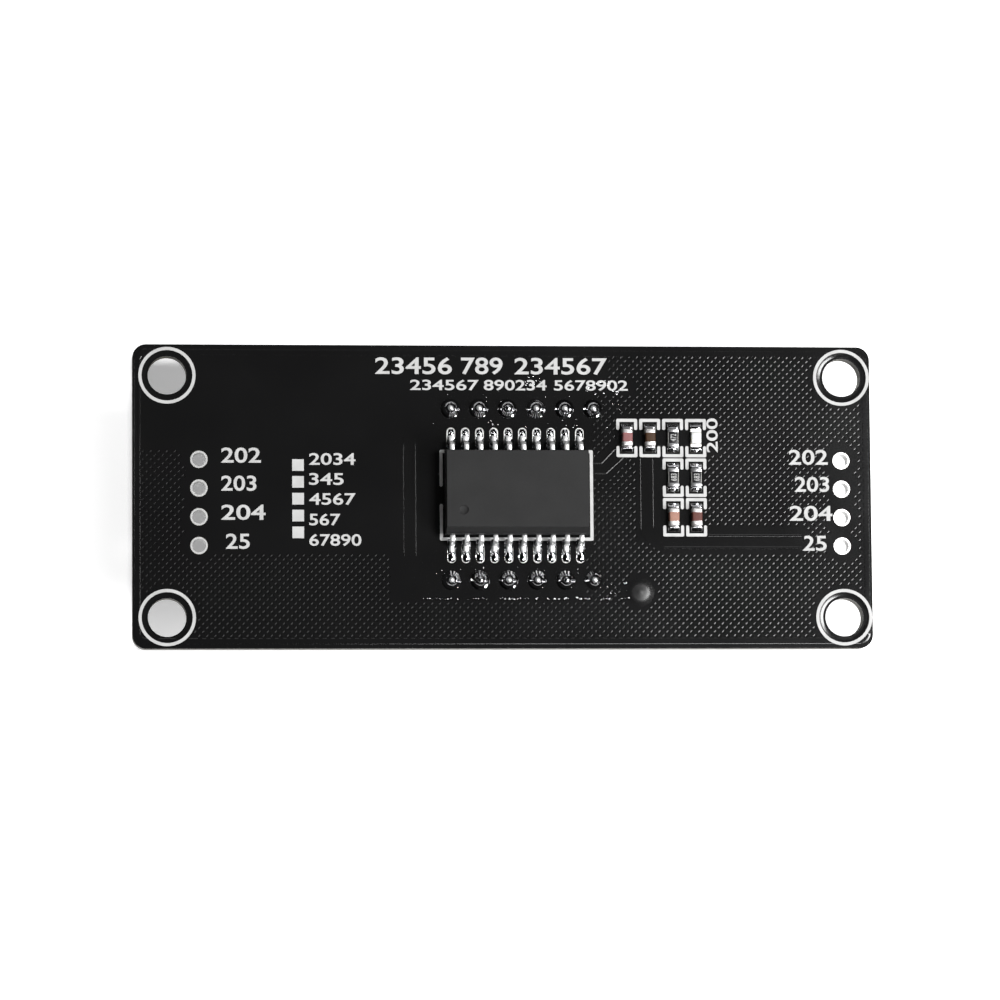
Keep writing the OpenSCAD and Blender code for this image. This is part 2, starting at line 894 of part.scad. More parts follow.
module capacitor_ends(i) {
    color("#d6d4d2")
        at_small_part(CAPACITORS[i - 1])
            metal_ends(capacitor_height, capacitor_end);
}

module resistor_ceramic(i) {
    color("#e8e6e0")
        at_small_part(RESISTORS[i - 1])
            small_core(resistor_height);
}

module resistor_glaze(i) {
    color("#222224")
        at_small_part(RESISTORS[i - 1])
            translate([0, 0, resistor_height - end_thickness])
                block(small_width - 2 * end_thickness, small_length - 2 * resistor_end, resistor_glaze);
}

module resistor_ends(i) {
    color("#d6d4d2")
        at_small_part(RESISTORS[i - 1])
            metal_ends(resistor_height, resistor_end);
}

module power_light_base() {
    color("#efeee8")
        at_small_part(POWER_LIGHT)
            small_core(light_base_height);
}

module power_light_ends() {
    color("#d9c98a")
        at_small_part(POWER_LIGHT)
            metal_ends(light_base_height, light_end_length);
}

module power_light_lens() {
    color("#f7f5ee")
        at_small_part(POWER_LIGHT)
            translate([0, 0, light_base_height - end_thickness])
                linear_extrude(light_lens_height, slices = 1, segments = 1, scale = [1, light_lens_taper])
                    square([small_width - 2 * end_thickness, light_lens_length], center = true);
}

// The hollow fillet of solder from a part's metal end to the outer end of its pad
module end_solder(height) {
    reach = small_pad_gap / 2 + small_pad_length - small_length / 2;
    translate([-small_width / 2, small_length / 2, 0])
        difference() {
            cube([small_width, reach, height]);
            translate([-fit_overrun, reach, reach])
                rotate([0, 90, 0])
                    cylinder(r = reach - small_solder_lip, h = small_width + 2 * fit_overrun);
        }
}

module small_part_solder() {
    color("#a9a9ab")
        for (side = [-1, 1]) {
            for (p = concat(CAPACITORS, RESISTORS))
                at_small_part(p)
                    on_side(side)
                        end_solder(small_solder_height);
            at_small_part(POWER_LIGHT)
                on_side(side)
                    end_solder(light_base_height);
        }
}

board_laminate();
component_side_mask();
display_side_mask();
component_side_print();
display_side_print();
connector_plating(header_x[0]);  // left_connector_plating
connector_plating(header_x[1]);  // right_connector_plating
pin_plating(pin_row_y[1]);  // upper_pin_plating
pin_plating(pin_row_y[0]);  // lower_pin_plating
chip_pads();
small_part_pads();
display_housing();
digit_light_pipes(0);  // digit_1_light_pipes
digit_light_pipes(1);  // digit_2_light_pipes
digit_light_pipes(2);  // digit_3_light_pipes
digit_light_pipes(3);  // digit_4_light_pipes
display_light_dies();
display_inner_board();
display_back_resin();
display_pins(pin_row_y[1]);  // upper_display_pins
display_pins(pin_row_y[0]);  // lower_display_pins
pin_solder(pin_row_y[1]);  // upper_pin_solder
pin_solder(pin_row_y[0]);  // lower_pin_solder
driver_chip_body();
driver_chip_leads(1);  // driver_chip_upper_leads
driver_chip_leads(-1);  // driver_chip_lower_leads
lead_solder(1);  // upper_lead_solder
lead_solder(-1);  // lower_lead_solder
capacitor_ceramic(1);  // capacitor_1_ceramic
capacitor_ends(1);  // capacitor_1_ends
capacitor_ceramic(2);  // capacitor_2_ceramic
capacitor_ends(2);  // capacitor_2_ends
capacitor_ceramic(3);  // capacitor_3_ceramic
capacitor_ends(3);  // capacitor_3_ends
capacitor_ceramic(4);  // capacitor_4_ceramic
capacitor_ends(4);  // capacitor_4_ends
resistor_ceramic(1);  // resistor_1_ceramic
resistor_glaze(1);  // resistor_1_glaze
resistor_ends(1);  // resistor_1_ends
resistor_ceramic(2);  // resistor_2_ceramic
resistor_glaze(2);  // resistor_2_glaze
resistor_ends(2);  // resistor_2_ends
resistor_ceramic(3);  // resistor_3_ceramic
resistor_glaze(3);  // resistor_3_glaze
resistor_ends(3);  // resistor_3_ends
power_light_base();
power_light_lens();
power_light_ends();
small_part_solder();
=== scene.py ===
# %% [markdown]
# # A seven segment display module, seen from its component side
# The object is a black circuit board, 65.6 mm long, that lies on the face of a four-digit display.
# What shows from above is the back of the board: solder mask, white print, a driver chip, some small
# chip parts and the solder of the display's pins. The CAD solids are loaded as a fixed frame, and this
# script gives them their finish and adds what is too fine for them.

# %% Load the frame and keep its box
import math
import random
import bmesh
import bpy
from mathutils import Matrix, Vector


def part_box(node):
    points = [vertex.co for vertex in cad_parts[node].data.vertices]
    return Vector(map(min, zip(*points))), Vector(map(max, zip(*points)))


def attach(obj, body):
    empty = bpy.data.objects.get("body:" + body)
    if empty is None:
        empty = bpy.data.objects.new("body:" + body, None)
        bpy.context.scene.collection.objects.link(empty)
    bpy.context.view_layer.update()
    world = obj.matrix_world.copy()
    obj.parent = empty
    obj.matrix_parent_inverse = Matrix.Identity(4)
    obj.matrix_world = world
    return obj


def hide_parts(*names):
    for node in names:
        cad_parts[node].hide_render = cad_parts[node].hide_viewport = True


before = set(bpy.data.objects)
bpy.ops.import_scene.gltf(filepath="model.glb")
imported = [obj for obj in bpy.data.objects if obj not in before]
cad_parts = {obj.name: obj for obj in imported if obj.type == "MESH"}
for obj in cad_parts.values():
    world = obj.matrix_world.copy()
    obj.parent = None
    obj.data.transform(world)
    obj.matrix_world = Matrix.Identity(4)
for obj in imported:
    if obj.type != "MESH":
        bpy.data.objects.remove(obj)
bpy.ops.object.select_all(action="DESELECT")
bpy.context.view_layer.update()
MM = 0.001
print("loaded", len(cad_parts), "nodes")

# %% [markdown]
# ## Camera
# The photograph was taken from almost straight above, with a long lens. On the real bench the camera
# leaned five degrees to the left and six to the front. A camera can be aimed by hand or by numbers; here
# three turns are used, because they come straight from fitting the standard 2.54 mm and 1.27 mm pitches
# to the photograph.

# %% Camera
BOARD_TOP = 9.6 * MM
LENS_DISTANCE = 450 * MM
LENS_LENGTH = 183.24
SENSOR_WIDTH = 36
TURN_Y = math.radians(5.388)
TURN_X = math.radians(-5.647)
TURN_Z = math.radians(0.441)
AIM_RIGHT = 0.368 * MM
AIM_UP = 0.294 * MM


def add_camera():
    """Aims the camera at the middle of the board's top, with the photograph's three turns."""
    turn = (Matrix.Rotation(-TURN_Y, 3, "Y")
            @ Matrix.Rotation(-TURN_X, 3, "X")
            @ Matrix.Rotation(-TURN_Z, 3, "Z"))
    place = Vector((0, 0, BOARD_TOP)) + turn @ Vector((-AIM_RIGHT, -AIM_UP, LENS_DISTANCE))
    bpy.ops.object.camera_add()
    camera = bpy.context.active_object
    camera.matrix_world = Matrix.Translation(place) @ turn.to_4x4()
    camera.data.lens = LENS_LENGTH
    camera.data.sensor_width = SENSOR_WIDTH
    camera.data.clip_start = 0.01
    bpy.context.scene.camera = camera
    return camera


camera = add_camera()
print("camera at", [round(v / MM) for v in camera.location], "mm")

# %% [markdown]
# ## Floor and light
# The board is glossy black, so what it reflects matters more than what lights it. The sky is dim, and
# brightens slowly overhead towards the right, which gives the flat mask its faint gradient. A soft light
# high on the right, a little off the mirror direction, makes flat satin tin nearly white. A strip light
# lower down, near the front, gives each solder joint its bright crescent at the lower right and lights the
# grid on the right; a weak one beside it lights the grid on the left. Others on the left, in front and
# behind add the small ticks round each joint and the thin lines along the copper. The floor glows, and its
# glow is painted shade: it is weak under the board, so that the holes look into painted shade, and strong
# beyond the board's edge, where it paints out the board's shadow.

# %% Floor, lights and world
FLOOR_SIZE = 1.6
BOARD_HALF = (32.8 * MM, 13.45 * MM, 0)
# Painted shade on the floor: between these distances from the board's edge (m) the glow rises from the lower strength
# to the higher.
FLOOR_PAINTED_SHADE = (-0.9 * MM, 0.4 * MM, 0.29, 0.85)
LIGHTS = {"high": {"place": (0.21, -0.02, 0.455), "size": (0.16, 0.13), "watts": 1.75},
          "key": {"place": (0.172, -0.092, 0.17), "size": (0.14, 0.036), "watts": 0.34, "turn": 20},
          "low": {"place": (0.108, -0.088, 0.17), "size": (0.09, 0.045), "watts": 0.045, "turn": 30},
          "left": {"place": (-0.36, 0.06, 0.34), "size": (0.05, 0.05), "watts": 0.12},
          "front": {"place": (0.075, -0.265, 0.33), "size": (0.10, 0.05), "watts": 0.25},
          "back": {"place": (0.04, 0.30, 0.42), "size": (0.26, 0.16), "watts": 0.25}}
SKY_OVERHEAD = (0.03, 0.10)
SKY_RIGHT = 1.5


def add_soft_light(name, place, size, watts, turn=0):
    """A rectangular light that faces the middle of the board, turned about its own axis."""
    bpy.ops.object.light_add(type="AREA", location=place)
    light = bpy.context.active_object
    light.name = name
    light.data.shape = "RECTANGLE"
    light.data.size, light.data.size_y = size
    light.data.energy = watts
    light.rotation_euler = (Vector((0, 0, BOARD_TOP)) - light.location).to_track_quat("-Z", "Y").to_euler()
    light.rotation_euler.rotate_axis("Z", math.radians(turn))
    return light


def map_range(nodes, links, value, low, high, start, end):
    """A smooth step from one value to another."""
    node = nodes.new("ShaderNodeMapRange")
    node.interpolation_type = "SMOOTHSTEP"
    for socket, number in zip(("From Min", "From Max", "To Min", "To Max"), (start, end, low, high)):
        node.inputs[socket].default_value = number
    links.new(value, node.inputs["Value"])
    return node.outputs["Result"]


def add_floor():
    """A pale sheet under the display's face that glows, with painted shade under the module and its shadow painted out
    beside it.
    """
    bpy.ops.mesh.primitive_plane_add(size=FLOOR_SIZE)
    floor = bpy.context.active_object
    floor.name = "floor"
    paint = bpy.data.materials.new("floor_glow_with_painted_shade")
    paint.use_nodes = True
    shader = paint.node_tree.nodes["Principled BSDF"]
    shader.inputs["Base Color"].default_value = (0.9, 0.9, 0.9, 1)
    shader.inputs["Roughness"].default_value = 0.9
    shader.inputs["Specular IOR Level"].default_value = 0.1
    shader.inputs["Emission Color"].default_value = (1, 1, 1, 1)
    nodes, links = paint.node_tree.nodes, paint.node_tree.links
    place = nodes.new("ShaderNodeTexCoord")
    size = nodes.new("ShaderNodeVectorMath")
    size.operation = "ABSOLUTE"
    beyond = nodes.new("ShaderNodeVectorMath")
    beyond.operation = "SUBTRACT"
    beyond.inputs[1].default_value = BOARD_HALF
    sides = nodes.new("ShaderNodeSeparateXYZ")
    farthest = nodes.new("ShaderNodeMath")
    farthest.operation = "MAXIMUM"
    links.new(place.outputs["Object"], size.inputs[0])
    links.new(size.outputs["Vector"], beyond.inputs[0])
    links.new(beyond.outputs["Vector"], sides.inputs[0])
    links.new(sides.outputs["X"], farthest.inputs[0])
    links.new(sides.outputs["Y"], farthest.inputs[1])
    # Painted shade: the glow is weak under the board and strong beyond its edge, which also paints out the board's
    # shadow.
    start, end, low, high = FLOOR_PAINTED_SHADE
    links.new(map_range(nodes, links, farthest.outputs[0], low, high, start, end),
              shader.inputs["Emission Strength"])
    floor.data.materials.append(paint)
    return floor


def light_the_room():
    """A sky that is dim overhead, brighter near the horizon and, high up, brighter towards the right."""
    world = bpy.data.worlds.new("studio")
    world.use_nodes = True
    nodes, links = world.node_tree.nodes, world.node_tree.links
    way = nodes.new("ShaderNodeTexCoord")
    parts = nodes.new("ShaderNodeSeparateXYZ")
    links.new(way.outputs["Generated"], parts.inputs[0])
    horizon = map_range(nodes, links, parts.outputs["Z"], 0.22, SKY_OVERHEAD[0], 0.15, 0.6)
    high = map_range(nodes, links, parts.outputs["Z"], 0, 1, 0.72, 0.94)
    right = map_range(nodes, links, parts.outputs["X"], SKY_OVERHEAD[1] - 0.06, SKY_RIGHT, -0.12, 0.6)
    patch = nodes.new("ShaderNodeMath")
    patch.operation = "MULTIPLY_ADD"
    for index, source in enumerate((high, right, horizon)):
        links.new(source, patch.inputs[index])
    links.new(patch.outputs[0], nodes["Background"].inputs["Strength"])
    bpy.context.scene.world = world
    bpy.context.scene.view_settings.view_transform = "Standard"


add_floor()
light_the_room()
for name, light in LIGHTS.items():
    add_soft_light(name, **light)

# %% [markdown]
# ## Helpers for materials
# Every finish is a Principled shader with a few textures in front of it. They read Object coordinates,
# which here are true metres on the part, so a texture's size can be given in millimetres.

# %% Material helpers


def start_material(name, **sockets):
    """A material whose Principled shader has these values. Underscores stand for spaces."""
    material = bpy.data.materials.new(name)
    material.use_nodes = True
    shader = material.node_tree.nodes["Principled BSDF"]
    for socket, value in sockets.items():
        shader.inputs[socket.replace("_", " ")].default_value = value
    return material, shader


def add_node(material, kind, sockets, **settings):
    """A shader node. A socket's value is a number, a colour or another node's output."""
    node = material.node_tree.nodes.new("ShaderNode" + kind)
    for name, value in settings.items():
        setattr(node, name, value)
    for name, value in sockets.items():
        if isinstance(value, bpy.types.NodeSocket):
            material.node_tree.links.new(value, node.inputs[name])
        else:
            node.inputs[name].default_value = value
    return node


def coordinates(material, stretch=(1, 1, 1), turn=0):
    """Object coordinates, stretched and turned about Z."""
    source = add_node(material, "TexCoord", {}).outputs["Object"]
    mapping = add_node(material, "Mapping", {"Vector": source, "Scale": stretch, "Rotation": (0, 0, turn)})
    return mapping.outputs["Vector"]


def noise(material, size, detail=3, stretch=(1, 1, 1)):
    """Soft noise whose patches are about this many millimetres across."""
    return add_node(material, "TexNoise", {"Vector": coordinates(material, stretch),
                                           "Scale": 1 / (size * MM), "Detail": detail}).outputs["Fac"]


def spread(material, value, low, high, start=0.3, end=0.7):
    """Maps a value from start..end to low..high."""
    return add_node(material, "MapRange", {"Value": value, "From Min": start, "From Max": end,
                                           "To Min": low, "To Max": high}).outputs["Result"]


def blend_colours(material, amount, first, second):
    """The first colour where the amount is 0 and the second where it is 1."""
    mix = add_node(material, "Mix", {0: amount, 6: (*first, 1), 7: (*second, 1)}, data_type="RGBA")
    return mix.outputs[2]


def math_node(material, operation, first, second=0.0):
    """One step of arithmetic."""
    return add_node(material, "Math", {0: first, 1: second}, operation=operation).outputs[0]


def raise_surface(material, shader, height, depth, below=None):
    """Bumps the surface by this many millimetres of height."""
    sockets = {"Height": height, "Distance": depth * MM, "Strength": 1.0}
    if below is not None:
        sockets["Normal"] = below
    bump = add_node(material, "Bump", sockets).outputs["Normal"]
    material.node_tree.links.new(bump, shader.inputs["Normal"])
    return bump


def link(material, output, shader, socket):
    """Feeds a texture to one of the shader's sockets."""
    material.node_tree.links.new(output, shader.inputs[socket])


def dress(node, material):
    """Gives a CAD node its finish."""
    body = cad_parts[node]
    body.data.materials.clear()
    body.data.materials.append(material)


# %% [markdown]
# ## Solder mask
# The mask is a thin black lacquer, baked on, glossy and very slightly wavy. A dark base with a low
# roughness gives the gloss, a fine noise the orange peel, and a broad one the faint dullness where flux
# was washed off round the chip.

# %% Solder mask


def make_solder_mask():
    """Glossy black lacquer."""
    material, shader = start_material("solder_mask", IOR=1.5)
    cloud = noise(material, 9, detail=4)
    peel = noise(material, 0.5, detail=2)
    link(material, blend_colours(material, cloud, (0.0062, 0.0062, 0.0064), (0.0088, 0.0088, 0.009)),
         shader, "Base Color")
    link(material, spread(material, cloud, 0.10, 0.14), shader, "Roughness")
    raise_surface(material, shader, peel, 0.002)
    return material


solder_mask = make_solder_mask()
for node in ("component_side_mask", "display_side_mask"):
    dress(node, solder_mask)

# %% [markdown]
# ## Laminate
# The board's cut edges show layers of woven glass in resin. Thin bands along Z and a stretched noise give
# the layers, and the colour is a dull straw that turns darker where the cutter burned it.

# %% Laminate


def make_laminate():
    """Layers of glass cloth in resin."""
    material, shader = start_material("laminate", IOR=1.5)
    layers = add_node(material, "TexWave", {"Vector": coordinates(material), "Scale": 1 / (0.9 * MM),
                                            "Distortion": 2.5, "Detail": 2, "Detail Scale": 1.5},
                      bands_direction="Z").outputs["Fac"]
    cloth = noise(material, 0.25, detail=3, stretch=(1, 1, 3))
    tone = math_node(material, "MULTIPLY", layers, cloth)
    link(material, blend_colours(material, spread(material, tone, 0, 1, 0.1, 0.5),
                                 (0.035, 0.032, 0.024), (0.12, 0.11, 0.08)), shader, "Base Color")
    link(material, spread(material, cloth, 0.5, 0.75), shader, "Roughness")
    raise_surface(material, shader, tone, 0.02)
    return material


dress("board_laminate", make_laminate())

# %% [markdown]
# ## White print
# The print is screen-printed ink: bright, matte, a little uneven, and thin enough for the mask's gloss to
# be gone under it.

# %% White print


def make_white_print():
    """Matte white ink."""
    material, shader = start_material("white_print", IOR=1.45)
    grain = noise(material, 0.12, detail=3)
    patches = noise(material, 1.1, detail=3)
    link(material, blend_colours(material, spread(material, patches, 0, 1),
                                 (0.54, 0.54, 0.535), (0.64, 0.64, 0.635)), shader, "Base Color")
    link(material, spread(material, grain, 0.45, 0.65), shader, "Roughness")
    raise_surface(material, shader, grain, 0.006)
    return material


white_print = make_white_print()
for node in ("component_side_print", "display_side_print"):
    dress(node, white_print)

# %% [markdown]
# ## Tin, solder and metal ends
# All of these are tin or lead-tin, but each has its own surface. Plated pads and leads are satin, with a
# fine pressed grain. Solder froze as a drop, so it is a wavy mirror. The fired ends of the small parts are
# the dullest.

# %% Metals


def make_metal(name, colour, rough, grain_size, grain_depth, wave_size, wave_depth):
    """A white metal with a fine grain over a broad wave."""
    material, shader = start_material(name, Metallic=1.0)
    grain = noise(material, grain_size, detail=4)
    wave = noise(material, wave_size, detail=2)
    dull = tuple(0.8 * part for part in colour)
    link(material, blend_colours(material, spread(material, grain, 0, 1), dull, colour), shader, "Base Color")
    link(material, spread(material, grain, *rough), shader, "Roughness")
    broad = raise_surface(material, shader, wave, wave_depth)
    raise_surface(material, shader, grain, grain_depth, below=broad)
    return material


tinned = make_metal("tinned_copper", (0.85, 0.85, 0.84), (0.34, 0.42), 0.06, 0.001, 0.6, 0.003)
lead_tin = make_metal("lead_tin", (0.92, 0.92, 0.92), (0.38, 0.43), 0.05, 0.001, 0.6, 0.003)
solder = make_metal("solder", (0.78, 0.78, 0.80), (0.06, 0.11), 0.12, 0.0005, 0.7, 0.005)
fired_tin = make_metal("fired_tin", (0.92, 0.90, 0.89), (0.30, 0.36), 0.05, 0.0015, 0.5, 0.003)
dull_tin = make_metal("dull_tin", (0.5, 0.5, 0.51), (0.26, 0.34), 0.08, 0.003, 0.4, 0.008)
for node in ("left_connector_plating", "right_connector_plating", "upper_pin_plating",
             "lower_pin_plating", "chip_pads"):
    dress(node, tinned)
dress("small_part_pads", solder)
for node in ("driver_chip_upper_leads", "driver_chip_lower_leads",
             "upper_display_pins", "lower_display_pins"):
    dress(node, lead_tin)
for node in ("upper_pin_solder", "lower_pin_solder", "upper_lead_solder", "lower_lead_solder",
             "small_part_solder"):
    dress(node, solder)
for number in (1, 2, 3, 4):
    dress(f"capacitor_{number}_ends", fired_tin)
for number in (1, 2, 3):
    dress(f"resistor_{number}_ends", fired_tin)

# %% [markdown]
# ## Moulded black plastics
# The driver chip is moulded in glass-filled resin with a matte, speckled skin. The display's housing is
# smoother, and its face is sprayed black so that unlit digits stay pale against it.

# %% Black plastics


def make_moulding(name, dark, light, rough, speck_size, speck_depth):
    """A moulded plastic with a fine speckled skin."""
    material, shader = start_material(name, IOR=1.5)
    speck = noise(material, speck_size, detail=5)
    patches = noise(material, 2.5, detail=3)
    tone = math_node(material, "ADD", math_node(material, "MULTIPLY", speck, 0.6),
                     math_node(material, "MULTIPLY", patches, 0.4))
    link(material, blend_colours(material, spread(material, tone, 0, 1, 0.35, 0.65), dark, light),
         shader, "Base Color")
    link(material, spread(material, patches, *rough), shader, "Roughness")
    raise_surface(material, shader, speck, speck_depth)
    return material


chip_moulding = make_moulding("chip_moulding", (0.003, 0.003, 0.0033), (0.006, 0.006, 0.0063),
                              (0.66, 0.72), 0.09, 0.004)
housing_plastic = make_moulding("housing_plastic", (0.012, 0.012, 0.013), (0.02, 0.02, 0.021),
                                (0.38, 0.5), 0.15, 0.006)
dress("driver_chip_body", chip_moulding)
dress("display_housing", housing_plastic)

# %% [markdown]
# ## Light pipes, resin and what lies behind them
# The bars of the digits are cast resin filled with white powder: milky, with a faint warm tint, and soft
# where light goes in and comes out again. Subsurface scattering does this.

# %% Light pipes and resin


def make_milky_resin(name, dark, light):
    """Milky cast resin."""
    material, shader = start_material(name, IOR=1.5, Subsurface_Weight=0.4,
                                      Subsurface_Radius=(1.0, 0.9, 0.7), Subsurface_Scale=0.4 * MM)
    milk = noise(material, 0.7, detail=4)
    link(material, blend_colours(material, spread(material, milk, 0, 1), dark, light), shader, "Base Color")
    link(material, spread(material, milk, 0.35, 0.5), shader, "Roughness")
    raise_surface(material, shader, noise(material, 0.12), 0.004)
    return material


def make_plain_resin(name, dark, light, rough):
    """A cast or pressed part with slow changes of colour."""
    material, shader = start_material(name, IOR=1.5)
    patches = noise(material, 1.5, detail=4)
    link(material, blend_colours(material, spread(material, patches, 0, 1), dark, light), shader, "Base Color")
    link(material, spread(material, patches, rough, rough + 0.15), shader, "Roughness")
    raise_surface(material, shader, noise(material, 0.2), 0.008)
    return material


light_pipe = make_milky_resin("light_pipe_resin", (0.66, 0.65, 0.6), (0.8, 0.79, 0.74))
for number in (1, 2, 3, 4):
    dress(f"digit_{number}_light_pipes", light_pipe)
dress("display_back_resin", make_plain_resin("back_resin", (0.5, 0.5, 0.44), (0.62, 0.62, 0.56), 0.12))
dress("display_inner_board", make_plain_resin("inner_board", (0.5, 0.44, 0.3), (0.62, 0.56, 0.4), 0.55))
dress("display_light_dies", make_plain_resin("light_die", (0.6, 0.5, 0.16), (0.75, 0.62, 0.2), 0.3))

# %% [markdown]
# ## Ceramics, glaze and the power light
# Capacitors are fired in the colour of their clay: pink, dark brown, orange and brick red here. Resistors
# are white alumina under black glaze. The power light is a white base with a clear, milky lens.

# %% Ceramics
CERAMICS = {1: (0.32, 0.135, 0.135), 2: (0.065, 0.03, 0.012), 3: (0.47, 0.25, 0.19), 4: (0.16, 0.058, 0.048)}


def make_ceramic(name, colour, rough=0.45):
    """Fired clay with fine grain."""
    material, shader = start_material(name, IOR=1.35)
    grain = noise(material, 0.07, detail=4)
    dark = tuple(0.72 * part for part in colour)
    link(material, blend_colours(material, spread(material, grain, 0, 1), dark, colour), shader, "Base Color")
    link(material, spread(material, grain, rough, rough + 0.15), shader, "Roughness")
    raise_surface(material, shader, grain, 0.006)
    return material


ceramics = {number: make_ceramic(f"ceramic_{number}", colour) for number, colour in CERAMICS.items()}
for number, ceramic in ceramics.items():
    dress(f"capacitor_{number}_ceramic", ceramic)
alumina = make_ceramic("alumina", (0.78, 0.77, 0.73))
glaze_black = make_ceramic("resistor_glaze", (0.012, 0.012, 0.014), 0.2)
light_base = make_ceramic("light_base", (0.82, 0.81, 0.76))
light_lens = make_milky_resin("light_lens", (0.84, 0.84, 0.82), (0.9, 0.9, 0.88))
light_ends = make_metal("light_end", (0.94, 0.92, 0.88), (0.3, 0.4), 0.05, 0.002, 0.3, 0.004)
for number in (1, 2, 3):
    dress(f"resistor_{number}_ceramic", alumina)
    dress(f"resistor_{number}_glaze", glaze_black)
dress("power_light_base", light_base)
dress("power_light_lens", light_lens)
dress("power_light_ends", light_ends)
print("materials:", len(bpy.data.materials))

# %% [markdown]
# ## Helpers for modelling
# Pieces are made as by hand: a primitive is added, parts of it are selected by their place, and edit-mode
# operators shape it. Rounded copies of the CAD solids use the same tools: a copy is merged, its flat faces
# are joined, and a Bevel modifier rounds the edges, because real edges catch the light and sharp ones don't.

# %% Modelling helpers
MERGE_DISTANCE = 0.0005 * MM


def select_only(*pieces):
    """Selects these pieces, with the first one active."""
    bpy.ops.object.select_all(action="DESELECT")
    for piece in pieces:
        piece.select_set(True)
    bpy.context.view_layer.objects.active = pieces[0]


def middle(part):
    """The middle of a vertex, edge or face, in millimetres."""
    if isinstance(part, bmesh.types.BMVert):
        return part.co / MM
    corners = [vertex.co for vertex in part.verts]
    return sum(corners, Vector()) / len(corners) / MM


def choose(piece, kind="FACE", test=lambda part: True):
    """Opens a piece for editing with only those parts selected that pass the test."""
    select_only(piece)
    bpy.ops.object.mode_set(mode="EDIT")
    bpy.ops.mesh.select_mode(type=kind)
    bpy.ops.mesh.select_all(action="DESELECT")
    mesh = bmesh.from_edit_mesh(piece.data)
    parts = {"VERT": mesh.verts, "EDGE": mesh.edges, "FACE": mesh.faces}[kind]
    for part in parts:
        if test(part):
            part.select_set(True)
    bmesh.update_edit_mesh(piece.data)


def close_editing():
    """Goes back to object mode."""
    bpy.ops.object.mode_set(mode="OBJECT")


def start_box(name, low, high):
    """A cube between two corners, in millimetres."""
    bpy.ops.object.select_all(action="DESELECT")
    centre = [(a + b) / 2 * MM for a, b in zip(low, high)]
    bpy.ops.mesh.primitive_cube_add(size=1, location=centre)
    piece = bpy.context.active_object
    piece.name = piece.data.name = name
    piece.scale = [(b - a) * MM for a, b in zip(low, high)]
    bpy.ops.object.transform_apply()
    return piece


def apply_modifier(piece, kind, **settings):
    """Adds a modifier with these settings and applies it."""
    select_only(piece)
    bpy.ops.object.modifier_add(type=kind)
    modifier = piece.modifiers[-1]
    for name, value in settings.items():
        setattr(modifier, name, value)
    bpy.ops.object.modifier_apply(modifier=modifier.name)


def tidy_mesh(piece):
    """Merges doubles and turns every face outwards."""
    choose(piece)
    bpy.ops.mesh.remove_doubles(threshold=MERGE_DISTANCE)
    bpy.ops.mesh.normals_make_consistent(inside=False)
    close_editing()


def copies(model, places, turns=None):
    """One piece made of copies of the model, each at its own place (mm) and turn about Z."""
    made = []
    for index, place in enumerate(places):
        select_only(model)
        bpy.ops.object.duplicate()
        copy = bpy.context.active_object
        copy.location = [value * MM for value in place]
        copy.rotation_euler.z = turns[index] if turns else 0
        made.append(copy)
    select_only(*made)
    bpy.ops.object.transform_apply()
    bpy.ops.object.join()
    joined = bpy.context.active_object
    bpy.data.objects.remove(model)
    return joined


def finish_piece(piece, name, material, stands_for=(), smooth=35, keep_flat=False):
    """Names a piece, paints it, smooths its soft edges and sets it on the module."""
    select_only(piece)
    bpy.ops.object.transform_apply()
    piece.name = piece.data.name = name
    piece.data.materials.clear()
    piece.data.materials.append(material)
    bpy.ops.object.shade_smooth_by_angle(angle=math.radians(smooth))
    if keep_flat:
        apply_modifier(piece, "WEIGHTED_NORMAL", keep_sharp=True, weight=100)
    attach(piece, "root")
    if stands_for:
        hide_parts(*stands_for)
    print(name, len(piece.data.polygons), "faces")
    return piece


def round_edges(node, width, segments=2, angle=30):
    """A copy of a CAD node with rounded edges, as its own mesh at the same place."""
    select_only(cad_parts[node])
    bpy.ops.object.duplicate()
    piece = bpy.context.active_object
    for key in list(piece.keys()):
        del piece[key]
    piece.parent = None
    bpy.ops.mesh.customdata_custom_splitnormals_clear()
    choose(piece)
    bpy.ops.mesh.remove_doubles(threshold=MERGE_DISTANCE)
    bpy.ops.mesh.dissolve_limited(angle_limit=math.radians(1))
    close_editing()
    apply_modifier(piece, "BEVEL", width=width * MM, segments=segments, limit_method="ANGLE",
                   angle_limit=math.radians(angle))
    return piece


# %% [markdown]
# ## Rounded edges on the chip, its leads and the small parts
# Moulded resin, trimmed leads and fired ceramics all have small round edges. Each rounded copy stands for
# its CAD solid and keeps its place. The capacitors are tumbled before they are fired, so their edges are
# the roundest: their block and two ends are made anew from boxes, with only the outer edges bevelled.

# %% Rounded solids


def round_and_finish(node, width, material, segments=2):
    """Rounds one node and lets the copy stand for it."""
    finish_piece(round_edges(node, width, segments), node + "_rounded", material, (node,),
                 smooth=50, keep_flat=True)


round_and_finish("driver_chip_body", 0.07, chip_moulding)
for side in ("upper", "lower"):
    round_and_finish(f"driver_chip_{side}_leads", 0.035, lead_tin)
    round_and_finish(f"{side}_display_pins", 0.11, lead_tin, segments=3)
for number in (1, 2, 3):
    round_and_finish(f"resistor_{number}_ends", 0.02, dull_tin)
round_and_finish("power_light_lens", 0.08, light_lens)
round_and_finish("power_light_base", 0.03, light_base)

# %% Capacitors
CAPACITOR_END = 0.4
CAPACITOR_ROUND = 0.15


def bevel_where(piece, width, test):
    """Rounds the edges that pass the test."""
    choose(piece, "EDGE", test)
    bpy.ops.mesh.bevel(offset=width * MM, segments=4, affect="EDGES")
    close_editing()


